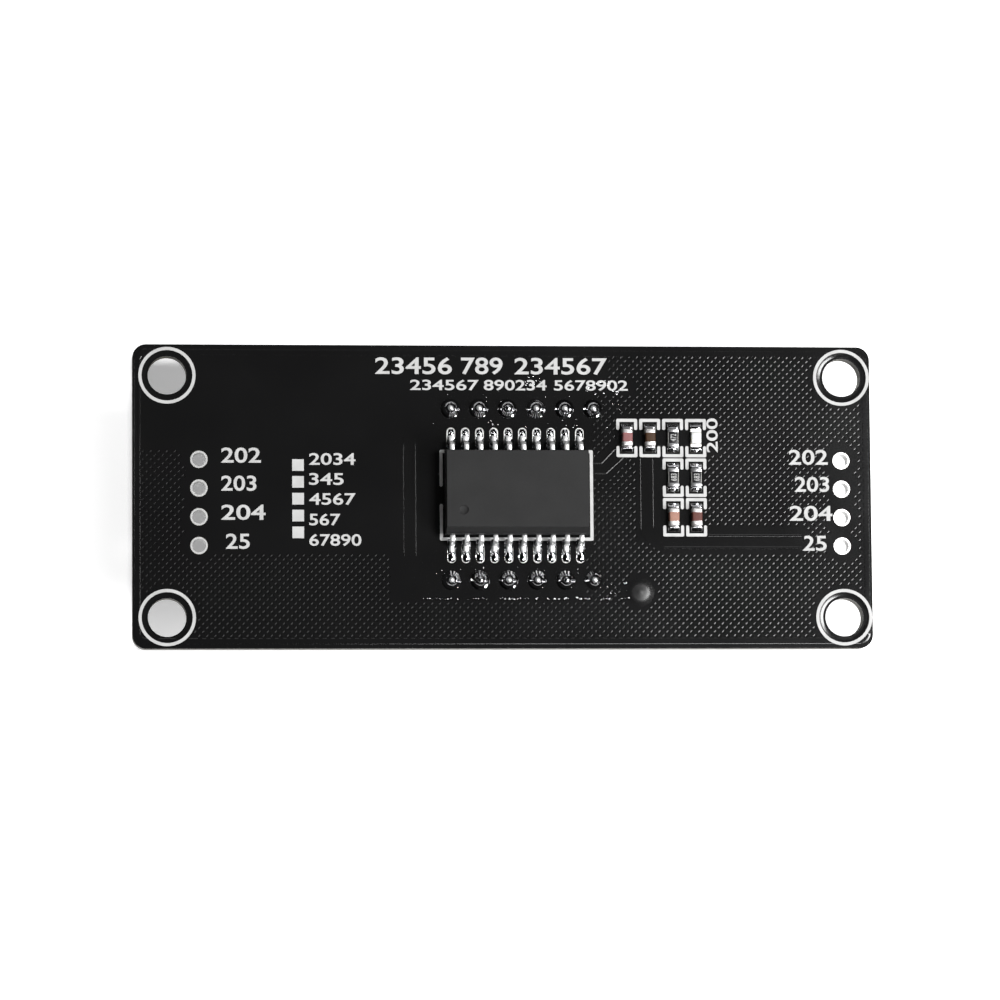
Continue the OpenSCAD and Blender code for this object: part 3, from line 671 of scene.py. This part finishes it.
def add_capacitor(number):
    """A ceramic block between two metal ends."""
    low, high = (Vector(corner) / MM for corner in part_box(f"capacitor_{number}_ends"))
    skin = high.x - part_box(f"capacitor_{number}_ceramic")[1].x / MM
    block = start_box("block", (low.x + skin, low.y + CAPACITOR_END, low.z),
                      (high.x - skin, high.y - CAPACITOR_END, high.z - skin))
    bevel_where(block, CAPACITOR_ROUND - skin,
                lambda edge: middle(edge).z > high.z - skin - 0.01 and abs(middle(edge).x - (low.x + high.x) / 2) > 0.1)
    finish_piece(block, f"capacitor_{number}_block", ceramics[number],
                 (f"capacitor_{number}_ceramic",), smooth=50, keep_flat=True)
    caps = []
    for outer, inner in ((low.y, low.y + CAPACITOR_END), (high.y, high.y - CAPACITOR_END)):
        cap = start_box("cap", (low.x, min(outer, inner), low.z), (high.x, max(outer, inner), high.z))
        bevel_where(cap, CAPACITOR_ROUND,
                    lambda edge: abs(middle(edge).y - inner) > 0.01 and middle(edge).z > low.z + 0.01)
        caps.append(cap)
    select_only(*caps)
    bpy.ops.object.join()
    finish_piece(bpy.context.active_object, f"capacitor_{number}_caps", fired_tin,
                 (f"capacitor_{number}_ends",), smooth=50, keep_flat=True)


for number in CERAMICS:
    add_capacitor(number)

# %% Resistor glaze
GLAZE_MARGIN = 0.03


def add_glaze(number):
    """Black glaze that leaves a thin line of white ceramic along both sides."""
    low, high = (Vector(corner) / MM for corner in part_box(f"resistor_{number}_glaze"))
    glaze = start_box("glaze", (low.x + GLAZE_MARGIN, low.y, low.z), (high.x - GLAZE_MARGIN, high.y, high.z))
    bevel_where(glaze, 0.015, lambda edge: middle(edge).z > high.z - 0.001)
    finish_piece(glaze, f"resistor_{number}_glaze_coat", glaze_black,
                 (f"resistor_{number}_glaze",), smooth=50, keep_flat=True)


for number in (1, 2, 3):
    add_glaze(number)

# %% [markdown]
# ## Solder of the display's pins
# A through-hole joint is a cone with a hollow flank: the solder wets the ring, climbs the pin and freezes.
# A circle is drawn out upwards through a few stations, and a soft subdivision rounds it. No two joints
# freeze alike, so each has its own size and lean, and two of them have closed over the pin's tip.

# %% Drawn-out shapes


def draw_out(name, stations, sides, levels=1):
    """A circle drawn out along Z through stations of (height, half width, half depth), in millimetres."""
    bpy.ops.object.select_all(action="DESELECT")
    height, wide, deep = stations[0]
    bpy.ops.mesh.primitive_circle_add(vertices=sides, radius=MM, fill_type="NGON")
    piece = bpy.context.active_object
    piece.name = name
    choose(piece)
    bpy.ops.transform.resize(value=(wide, deep, 1), center_override=(0, 0, 0))
    bpy.ops.transform.translate(value=(0, 0, height * MM))
    for next_height, next_wide, next_deep in stations[1:]:
        bpy.ops.mesh.extrude_region_move(
            TRANSFORM_OT_translate={"value": (0, 0, (next_height - height) * MM)})
        bpy.ops.transform.resize(value=(next_wide / wide, next_deep / deep, 1),
                                 center_override=(0, 0, next_height * MM))
        height, wide, deep = next_height, next_wide, next_deep
    close_editing()
    tidy_mesh(piece)
    apply_modifier(piece, "SUBSURF", levels=levels, render_levels=levels)
    return piece


# %% Pin solder
PIN_SOLDER = [(-0.08, 0.87), (0.0, 0.87), (0.014, 0.835), (0.04, 0.795), (0.1, 0.715), (0.2, 0.59),
              (0.3, 0.485), (0.4, 0.40), (0.5, 0.335), (0.6, 0.29), (0.66, 0.25)]
PIN_SOLDER_CLOSED = PIN_SOLDER[:-2] + [(0.62, 0.305), (0.76, 0.27), (0.84, 0.17)]
CLOSED_JOINTS = {("lower", 1), ("lower", 4), ("upper", 2)}
PIN_SOLDER_SIDES = 20
PIN_SOLDER_SEED = 11
PIN_COLUMNS = 6
PIN_PITCH = 2.54


def pin_places(node):
    """Middles of the pins in a row, on the board's top."""
    low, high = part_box(node)
    middle_x, middle_y = (low.x + high.x) / 2 / MM, (low.y + high.y) / 2 / MM
    first = middle_x - PIN_PITCH * (PIN_COLUMNS - 1) / 2
    return [(first + PIN_PITCH * column, middle_y, BOARD_TOP / MM) for column in range(PIN_COLUMNS)]


def add_pin_solder(side, draw):
    """Six joints, each a little different."""
    joints = []
    for index, place in enumerate(pin_places(f"{side}_pin_solder")):
        profile = PIN_SOLDER_CLOSED if (side, index) in CLOSED_JOINTS else PIN_SOLDER
        fullness = draw.uniform(0.92, 1.05)
        stations = [(height, radius * (fullness if 0.05 < height < 0.55 else 1)) for height, radius in profile]
        joint = draw_out("joint", [(height, radius, radius * 1.01) for height, radius in stations],
                         PIN_SOLDER_SIDES, levels=2)
        joint.location = [value * MM for value in place]
        joint.rotation_euler = (draw.uniform(-0.012, 0.012), draw.uniform(-0.012, 0.012), 0)
        joints.append(joint)
    select_only(*joints)
    bpy.ops.object.transform_apply()
    bpy.ops.object.join()
    finish_piece(bpy.context.active_object, f"{side}_pin_joints", solder,
                 (f"{side}_pin_solder",), smooth=60)


pin_draw = random.Random(PIN_SOLDER_SEED)
for side in ("upper", "lower"):
    add_pin_solder(side, pin_draw)

# %% [markdown]
# ## Solder of the chip's leads
# Paste melts under each foot and stands up beyond its tip as a small round bead, with a low fillet along
# each side of the foot. The bead is drawn out along the foot and cut off flat at the board. The chip sits
# a little above the middle of its pads, so the lower beads have more room and slope away more gently.

# %% Lead solder
BEAD_SIDES = 16
FOOT_STATIONS = [(4.0, 0.36, 0.04), (4.1, 0.40, 0.05), (4.4, 0.405, 0.055), (4.72, 0.40, 0.07)]
BEADS = {"upper": FOOT_STATIONS + [(4.88, 0.36, 0.12), (5.05, 0.33, 0.18), (5.15, 0.325, 0.22),
                                   (5.25, 0.32, 0.26), (5.4, 0.315, 0.27), (5.5, 0.31, 0.25),
                                   (5.6, 0.295, 0.20), (5.69, 0.255, 0.13), (5.76, 0.185, 0.07),
                                   (5.79, 0.1, 0.03)],
         "lower": FOOT_STATIONS + [(4.9, 0.39, 0.11), (5.05, 0.385, 0.18), (5.15, 0.385, 0.26),
                                   (5.3, 0.39, 0.31), (5.5, 0.39, 0.29), (5.7, 0.385, 0.24),
                                   (5.87, 0.35, 0.18), (6.0, 0.28, 0.11), (6.1, 0.15, 0.04)]}
BEAD_SEED = 4
LEADS_PER_SIDE = 10
LEAD_PITCH = 1.27


def model_bead(side, fullness):
    """One bead beside the chip's upper edge, with the chip's middle at the origin."""
    stations = [(reach, wide, deep * fullness if reach > 5 else deep) for reach, wide, deep in BEADS[side]]
    bead = draw_out("bead", stations, BEAD_SIDES)
    bead.rotation_euler.x = -math.pi / 2
    select_only(bead)
    bpy.ops.object.transform_apply()
    choose(bead)
    bpy.ops.mesh.bisect(plane_co=(0, 0, -0.03 * MM), plane_no=(0, 0, 1), clear_inner=True, use_fill=True)
    close_editing()
    return bead


def lead_places(side):
    """Places of the leads across from the chip's middle, on the board's top."""
    low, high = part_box("driver_chip_body")
    middle_x, middle_y = (low.x + high.x) / 2 / MM, (low.y + high.y) / 2 / MM
    first = middle_x - LEAD_PITCH * (LEADS_PER_SIDE - 1) / 2
    return [(first + LEAD_PITCH * lead, middle_y, BOARD_TOP / MM) for lead in range(LEADS_PER_SIDE)]


def add_lead_solder(side, draw):
    """Ten beads along one side of the chip."""
    beads = []
    for place in lead_places(side):
        bead = model_bead(side, draw.uniform(0.9, 1.08))
        bead.location = [value * MM for value in place]
        bead.rotation_euler.z = (0 if side == "upper" else math.pi) + draw.uniform(-0.006, 0.006)
        beads.append(bead)
    select_only(*beads)
    bpy.ops.object.transform_apply()
    bpy.ops.object.join()
    finish_piece(bpy.context.active_object, f"{side}_lead_beads", solder,
                 (f"{side}_lead_solder",), smooth=60)


bead_draw = random.Random(BEAD_SEED)
for side in BEADS:
    add_lead_solder(side, bead_draw)

# %% [markdown]
# ## Solder of the small parts
# At each end of a small part the solder forms a hollow fillet between the metal end and the pad. A block is
# hollowed by a bevel whose profile bends inwards, and its top corners are drawn in, as the solder only
# climbs the middle of the end.

# %% Small part solder
SMALL_FIRST = (10.97, 5.25)
SMALL_PITCH = (2.05, 3.53)
SMALL_LENGTH = 1.6
FILLET_WIDTH = 0.99
FILLET_REACH = 0.46
FILLET_SEED = 8
LOW_PARTS = {(3, 0)}
SMALL_PARTS = [(0, 0), (1, 0), (2, 0), (3, 0), (2, 1), (3, 1), (2, 2), (3, 2)]


def small_place(column, row):
    """Middle of a small part on the board's top, in millimetres."""
    return (SMALL_FIRST[0] + column * SMALL_PITCH[0], SMALL_FIRST[1] - row * SMALL_PITCH[1], BOARD_TOP / MM)


def model_fillet(height, narrowing):
    """A hollow fillet at the upper end of a small part that stands at the origin."""
    start = SMALL_LENGTH / 2
    fillet = start_box("fillet", (-FILLET_WIDTH / 2, start - 0.02, -0.02),
                       (FILLET_WIDTH / 2, start + FILLET_REACH, height))
    choose(fillet, "EDGE", lambda edge: middle(edge).z > height - 0.01 and middle(edge).y > start + 0.3)
    bpy.ops.mesh.bevel(offset=(height - 0.05) * MM, segments=8, profile=0.2, affect="EDGES")
    close_editing()
    choose(fillet, "VERT", lambda corner: middle(corner).z > height - 0.01)
    bpy.ops.transform.resize(value=(narrowing, 1, 1), center_override=(0, 0, height * MM))
    close_editing()
    apply_modifier(fillet, "BEVEL", width=0.035 * MM, segments=2, limit_method="ANGLE",
                   angle_limit=math.radians(50))
    return fillet


def add_small_solder():
    """Two fillets for every small part."""
    draw = random.Random(FILLET_SEED)
    fillets = []
    for column, row in SMALL_PARTS:
        for turn in (0, math.pi):
            height = 0.25 if (column, row) in LOW_PARTS else draw.uniform(0.34, 0.42)
            fillet = model_fillet(height, draw.uniform(0.7, 0.85))
            fillet.location = [value * MM for value in small_place(column, row)]
            fillet.rotation_euler.z = turn
            fillets.append(fillet)
    select_only(*fillets)
    bpy.ops.object.transform_apply()
    bpy.ops.object.join()
    finish_piece(bpy.context.active_object, "small_part_fillets", solder,
                 ("small_part_solder",), smooth=50)


add_small_solder()

# %% [markdown]
# ## Print: plain numbers
# The board carries printed lines in places. Here plain numbers stand in those places, at the same size
# and weight. Blender's own font is thickened with the curve's offset, then each line is made a mesh and
# fitted to its box. The count of digits is chosen so that the box hardly stretches them.

# %% Numbers in white print
INK_THICKNESS = 0.03
INK_WEIGHT = 0.015


def add_numbers(text, left, bottom, width, height, turned=False, level=BOARD_TOP / MM, weight=INK_WEIGHT):
    """A line of numbers in a box given in millimetres. A turned line reads upwards."""
    bpy.ops.object.select_all(action="DESELECT")
    bpy.ops.object.text_add()
    line = bpy.context.active_object
    line.data.body = text
    line.data.offset = weight
    line.data.resolution_u = 4
    line.data.extrude = 0.5
    bpy.ops.object.convert(target="MESH")
    xs = [vertex.co.x for vertex in line.data.vertices]
    ys = [vertex.co.y for vertex in line.data.vertices]
    grow_x, grow_y = width / (max(xs) - min(xs)), height / (max(ys) - min(ys))
    line.scale = (grow_x * MM, grow_y * MM, INK_THICKNESS * MM)
    rise = level + INK_THICKNESS / 2
    if turned:
        line.rotation_euler.z = math.pi / 2
        place = (left + height + min(ys) * grow_y, bottom - min(xs) * grow_x, rise)
    else:
        place = (left - min(xs) * grow_x, bottom - min(ys) * grow_y, rise)
    line.location = [value * MM for value in place]
    bpy.ops.object.transform_apply()
    tidy_mesh(line)
    return line


def finish_lines(lines, name):
    """Joins lines of numbers into one printed piece."""
    select_only(*lines)
    bpy.ops.object.join()
    finish_piece(bpy.context.active_object, name, white_print, smooth=30)


finish_lines([add_numbers("23456", -11.38, 10.87, 6.82, 1.52),
              add_numbers("789", -3.75, 10.87, 3.7, 1.52),
              add_numbers("234567", 1.0, 10.87, 8.25, 1.52)], "upper_line_numbers")
finish_lines([add_numbers("234567", -8.29, 9.45, 6.1, 0.95),
              add_numbers("890234", -1.75, 9.45, 5.6, 0.95),
              add_numbers("5678902", 4.5, 9.45, 6.6, 0.95)], "lower_line_numbers")

# %% Pin numbers, colour numbers and the light's number
LEFT_PIN_NUMBERS = [("202", -25.0, 2.95, 3.5), ("203", -25.0, 0.47, 3.1),
                    ("204", -25.0, -2.10, 3.9), ("25", -24.6, -4.66, 2.1)]
RIGHT_PIN_NUMBERS = [("202", 25.45, 2.88, 3.5), ("203", 25.95, 0.46, 3.1),
                     ("204", 25.45, -2.13, 3.85), ("25", 26.6, -4.80, 2.15)]
PIN_NUMBER_HEIGHT = 1.36
COLOUR_NUMBERS = [("2034", 2.78, 4.1), ("345", 1.01, 3.05), ("4567", -0.76, 4.1),
                  ("567", -2.58, 2.75), ("67890", -4.39, 4.6)]
COLOUR_NUMBER_LEFT = -17.26
COLOUR_NUMBER_HEIGHT = 1.06

finish_lines([add_numbers(text, left, bottom, width, PIN_NUMBER_HEIGHT)
              for text, left, bottom, width in LEFT_PIN_NUMBERS], "left_pin_numbers")
finish_lines([add_numbers(text, left, bottom, width, PIN_NUMBER_HEIGHT)
              for text, left, bottom, width in RIGHT_PIN_NUMBERS], "right_pin_numbers")
finish_lines([add_numbers(text, COLOUR_NUMBER_LEFT, bottom, width, COLOUR_NUMBER_HEIGHT)
              for text, bottom, width in COLOUR_NUMBERS], "colour_numbers")
finish_lines([add_numbers("200", 18.08, 3.98, 3.05, 1.02, turned=True)], "light_number")

# %% Numbers on the resistors
RESISTOR_PLACES = {1: (2, 0), 2: (2, 1), 3: (3, 1)}
RESISTOR_TEXT = {1: "472", 2: "683", 3: "683"}


def add_resistor_number(number):
    """Three small digits that read upwards, on the black glaze."""
    x, y, _ = small_place(*RESISTOR_PLACES[number])
    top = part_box(f"resistor_{number}_glaze")[1].z / MM
    return add_numbers(RESISTOR_TEXT[number], x - 0.25, y - 0.32, 0.64, 0.5, turned=True,
                       level=top - 0.015, weight=0)


finish_lines([add_resistor_number(number) for number in RESISTOR_PLACES], "resistor_numbers")

# %% [markdown]
# ## Copper under the mask
# The ground copper is a fine grid at 45 degrees. The mask lies over it, so each opening of the grid is a
# small dimple, and its sloping side glints towards the light. A grid of square faces is turned by 45
# degrees, faces outside the copper are deleted, and the rest are drawn upwards into a thin closed sheet.
# Two insets then make the flat line and the sloping side of every dimple at once.

# %% Hatched copper
HATCH_CELL = 0.5
HATCH_LINE = 0.25
HATCH_SLOPE = 0.04
HATCH_RISE = 0.016
HATCH_LIFT = 0.003
HATCH_SINK = 0.02
HATCH_CELLS_ACROSS = 134
MOUNT_PLACES = [(x, y) for x in (-29.75, 30.25) for y in (-10.7, 10.7)]
CONNECTOR_PLACES = [(x, -0.55 + 2.54 * step) for x in (-26.95, 30.15) for step in (-1.5, -0.5, 0.5, 1.5)]
VIA_BUMP = (12.02, -8.47)
RIDGES = [((12.16, 3.4), (12.16, -2.9), 0.057), ((13.26, 3.4), (13.26, -2.7), 0.06),
          ((18.15, -3.41), (26.5, -3.41), 0.14), ((14.2, -4.52), (26.5, -4.52), 0.14),
          ((8.05, 2.08), (9.08, 2.08), 0.08), ((9.08, 2.08), (10.57, 3.44), 0.08),
          ((8.05, 3.0), (8.7, 3.0), 0.08), ((8.7, 3.0), (9.9, 4.26), 0.08),
          ((-8.91, 4.6), (-8.91, -5.2), 0.033), ((-7.85, 4.6), (-7.85, -5.2), 0.036)]
PLAIN_BOXES = [(9.9, 3.3, 18.0, 7.25), (12.0, -4.2, 18.0, 3.4), (17.9, 3.8, 19.4, 7.2),
               (18.0, -4.7, 27.2, -2.65), (14.0, -4.7, 18.0, -3.8),
               (-40.0, -5.0, 7.9, 40.0), (-10.0, -9.4, 7.4, 0.0), (7.0, 10.4, 9.4, 12.6),
               (7.0, 8.9, 11.8, 10.6)]
TRACK_MARGIN = 0.45
LEFT_STRIP = (-32.1, -28.0, 4.2)


def near(x, y, places, radius):
    """Whether a point is within a radius of one of the places."""
    return any(math.hypot(x - a, y - b) < radius for a, b in places)


def near_track(x, y):
    """Whether a point lies beside a track."""
    for start, end, _ in RIDGES:
        way = Vector(end) - Vector(start)
        along = max(0, min(1, (Vector((x, y)) - Vector(start)).dot(way) / way.length_squared))
        if (Vector(start) + along * way - Vector((x, y))).length < TRACK_MARGIN:
            return True
    return False


def is_hatched(part):
    """Whether the grid copper shows at the middle of a face."""
    x, y = middle(part).xy
    if abs(x) > 32.05 or abs(y) > 12.6:
        return False
    if near(x, y, MOUNT_PLACES, 2.8) or near(x, y, CONNECTOR_PLACES, 1.5) or near(x, y, [VIA_BUMP], 1.5):
        return False
    if LEFT_STRIP[0] < x < LEFT_STRIP[1] and y < LEFT_STRIP[2]:
        return True
    if near_track(x, y):
        return False
    return not any(low_x < x < high_x and low_y < y < high_y for low_x, low_y, high_x, high_y in PLAIN_BOXES)


def add_hatched_copper():
    """Flat lines with dimples between them."""
    bpy.ops.object.select_all(action="DESELECT")
    bpy.ops.mesh.primitive_grid_add(x_subdivisions=HATCH_CELLS_ACROSS, y_subdivisions=HATCH_CELLS_ACROSS,
                                    size=HATCH_CELLS_ACROSS * HATCH_CELL * MM,
                                    location=(0, 0, BOARD_TOP - HATCH_SINK * MM),
                                    rotation=(0, 0, math.pi / 4))
    grid = bpy.context.active_object
    bpy.ops.object.transform_apply()
    choose(grid, "FACE", lambda face: not is_hatched(face))
    bpy.ops.mesh.delete(type="FACE")
    bpy.ops.mesh.select_all(action="SELECT")
    bpy.ops.mesh.extrude_region_move(
        TRANSFORM_OT_translate={"value": (0, 0, (HATCH_SINK + HATCH_LIFT + HATCH_RISE) * MM)})
    bpy.ops.mesh.inset(thickness=HATCH_LINE / 2 * MM, use_individual=True)
    bpy.ops.mesh.inset(thickness=HATCH_SLOPE * MM, depth=-HATCH_RISE * MM, use_individual=True)
    close_editing()
    tidy_mesh(grid)
    return finish_piece(grid, "hatched_copper_under_mask", solder_mask, smooth=5)


add_hatched_copper()

# %% [markdown]
# ## Copper edges
# Where the copper ends, the mask steps down. Round the holes and along the board's border the step is a
# ring or a frame, made from a flat outline by three insets: up, across and down. Along the tracks it is a
# low round ridge.

# %% Rings, border and ridges
RIDGE_RISE = 0.045
RIDGE_SINK = 0.01
BORDER_SIZE = (65.24, 26.1)
BORDER_STEPS = [(0.03, 0.012), (0.01, 0.0014), (0.45, 0), (0.01, -0.0014), (0.03, -0.012)]
MOUNT_STEPS = [(0.03, 0.03), (0.02, 0), (0.26, -0.03)]


def raised_band(piece, steps):
    """Turns a flat filled outline into a low band by insets of (width, rise), closed underneath."""
    choose(piece)
    for width, rise in steps:
        bpy.ops.mesh.inset(thickness=width * MM, depth=rise * MM)
    bpy.ops.mesh.delete(type="FACE")
    close_editing()
    choose(piece, "EDGE", lambda edge: edge.is_boundary)
    bpy.ops.mesh.bridge_edge_loops()
    close_editing()
    tidy_mesh(piece)
    return piece


def add_ring(x, y, outer, steps):
    """A low ring round a hole."""
    bpy.ops.object.select_all(action="DESELECT")
    bpy.ops.mesh.primitive_circle_add(vertices=64, radius=outer * MM, fill_type="NGON",
                                      location=(x * MM, y * MM, BOARD_TOP))
    bpy.ops.object.transform_apply()
    return raised_band(bpy.context.active_object, steps)


def add_border():
    """The copper's solid border along the board's edge."""
    bpy.ops.object.select_all(action="DESELECT")
    bpy.ops.mesh.primitive_plane_add(size=1, location=(0, 0, BOARD_TOP))
    border = bpy.context.active_object
    border.scale = (BORDER_SIZE[0] * MM, BORDER_SIZE[1] * MM, 1)
    bpy.ops.object.transform_apply()
    choose(border, "VERT")
    bpy.ops.mesh.bevel(offset=1.0 * MM, segments=6, affect="VERTICES")
    close_editing()
    return raised_band(border, BORDER_STEPS)


def add_ridge(start, end, half_width):
    """A low round ridge from start to end: the upper half of a long flattened cylinder."""
    way = Vector(end) - Vector(start)
    centre = (Vector(start) + Vector(end)) / 2
    bpy.ops.object.select_all(action="DESELECT")
    bpy.ops.mesh.primitive_cylinder_add(vertices=48, radius=half_width * MM, depth=way.length * MM,
                                        rotation=(0, math.pi / 2, 0))
    ridge = bpy.context.active_object
    bpy.ops.object.transform_apply()
    choose(ridge)
    bpy.ops.mesh.select_all(action="SELECT")
    bpy.ops.mesh.bisect(plane_co=(0, 0, 0), plane_no=(0, 0, 1), clear_inner=True, use_fill=True)
    close_editing()
    ridge.scale.z = (RIDGE_RISE + RIDGE_SINK) / half_width
    ridge.location = (centre.x * MM, centre.y * MM, BOARD_TOP - RIDGE_SINK * MM)
    ridge.rotation_euler.z = math.atan2(way.y, way.x)
    select_only(ridge)
    bpy.ops.object.transform_apply()
    return ridge


edges = [add_border()]
edges += [add_ring(x, y, 2.22, MOUNT_STEPS) for x, y in MOUNT_PLACES]
edges += [add_ridge(*ridge) for ridge in RIDGES]
select_only(*edges)
bpy.ops.object.join()
finish_piece(bpy.context.active_object, "copper_edges_under_mask", solder_mask, smooth=20,
             keep_flat=True)

# %% [markdown]
# ## A plugged hole under the mask
# Right of the lower pins a plugged through hole lifts the mask in a soft mound, which the wash left dull.
# It is drawn out as the solder is, with a long flat skirt.

# %% Plugged hole
MOUND = [(-0.012, 1.6), (-0.004, 1.4), (0.002, 1.22), (0.009, 1.05), (0.022, 0.8), (0.048, 0.56), (0.088, 0.34),
         (0.12, 0.17), (0.13, 0.05)]


def make_dull_mask():
    """Lacquer that is duller towards the middle of the mound."""
    material, shader = start_material("dull_mask", IOR=1.5)
    shader.inputs["Base Color"].default_value = (0.0075, 0.0075, 0.0077, 1)
    nodes, links = material.node_tree.nodes, material.node_tree.links
    place = nodes.new("ShaderNodeTexCoord")
    away = nodes.new("ShaderNodeVectorMath")
    away.operation = "DISTANCE"
    away.inputs[1].default_value = (VIA_BUMP[0] * MM, VIA_BUMP[1] * MM, BOARD_TOP)
    links.new(place.outputs["Object"], away.inputs[0])
    rough = map_range(nodes, links, away.outputs["Value"], 0.47, 0.14, 0.35 * MM, 1.0 * MM)
    links.new(rough, shader.inputs["Roughness"])
    raise_surface(material, shader, noise(material, 0.3, detail=4, stretch=(0.5, 1.4, 1)), 0.006)
    return material


mound = draw_out("mound", [(height, reach, reach) for height, reach in MOUND], sides=24, levels=2)
mound.location = (VIA_BUMP[0] * MM, VIA_BUMP[1] * MM, BOARD_TOP)
finish_piece(mound, "plugged_hole_mound", make_dull_mask(), smooth=60)

# %% [markdown]
# ## Flux residue
# Flux was washed off in a hurry: crumbs of it and tiny balls of solder lie round the joints, and a broken
# line of it marks where the wash dried below the lower pins. Each crumb is a small flattened sphere of its own.

# %% Flux crumbs
CRUMB_SEED = 5
CRUMB_ZONES = [(-7.7, -9.12, 0.0, -8.98, 26, 1.6), (0.0, -9.12, 11.2, -8.94, 44, 4.0),
               (8.3, -8.6, 10.9, -7.2, 16, 2.0), (8.5, 6.5, 10.5, 11.0, 14, 1.3),
               (-6.5, -6.9, 8.0, -6.2, 10, 1.5), (-6.3, 8.4, 6.4, 9.3, 8, 1.3),
               (-1.4, 5.9, -0.5, 6.8, 6, 2.2), (5.2, 5.9, 6.9, 7.0, 9, 2.0), (-6.4, 6.0, 9.4, 6.6, 6, 1.2),
               (1.8, 9.9, 3.4, 10.8, 12, 4.0), (7.2, 9.1, 10.6, 10.4, 26, 4.5)]


def add_crumbs():
    """Small flattened grains in zones of (box, count, longest stretch), scattered with a fixed seed."""
    draw = random.Random(CRUMB_SEED)
    crumbs = []
    for low_x, low_y, high_x, high_y, count, stretch in CRUMB_ZONES:
        for _ in range(count):
            bpy.ops.object.select_all(action="DESELECT")
            size = draw.uniform(0.03, 0.06) * MM
            place = (draw.uniform(low_x, high_x) * MM, draw.uniform(low_y, high_y) * MM, BOARD_TOP)
            bpy.ops.mesh.primitive_ico_sphere_add(subdivisions=2, radius=size, location=place)
            crumb = bpy.context.active_object
            crumb.scale = (draw.uniform(0.8, stretch), draw.uniform(0.7, 1.2), draw.uniform(0.5, 0.9))
            crumb.rotation_euler.z = draw.uniform(-0.3, 0.5)
            crumbs.append(crumb)
    select_only(*crumbs)
    bpy.ops.object.transform_apply()
    bpy.ops.object.join()
    return bpy.context.active_object


finish_piece(add_crumbs(), "flux_crumbs", solder, smooth=70)
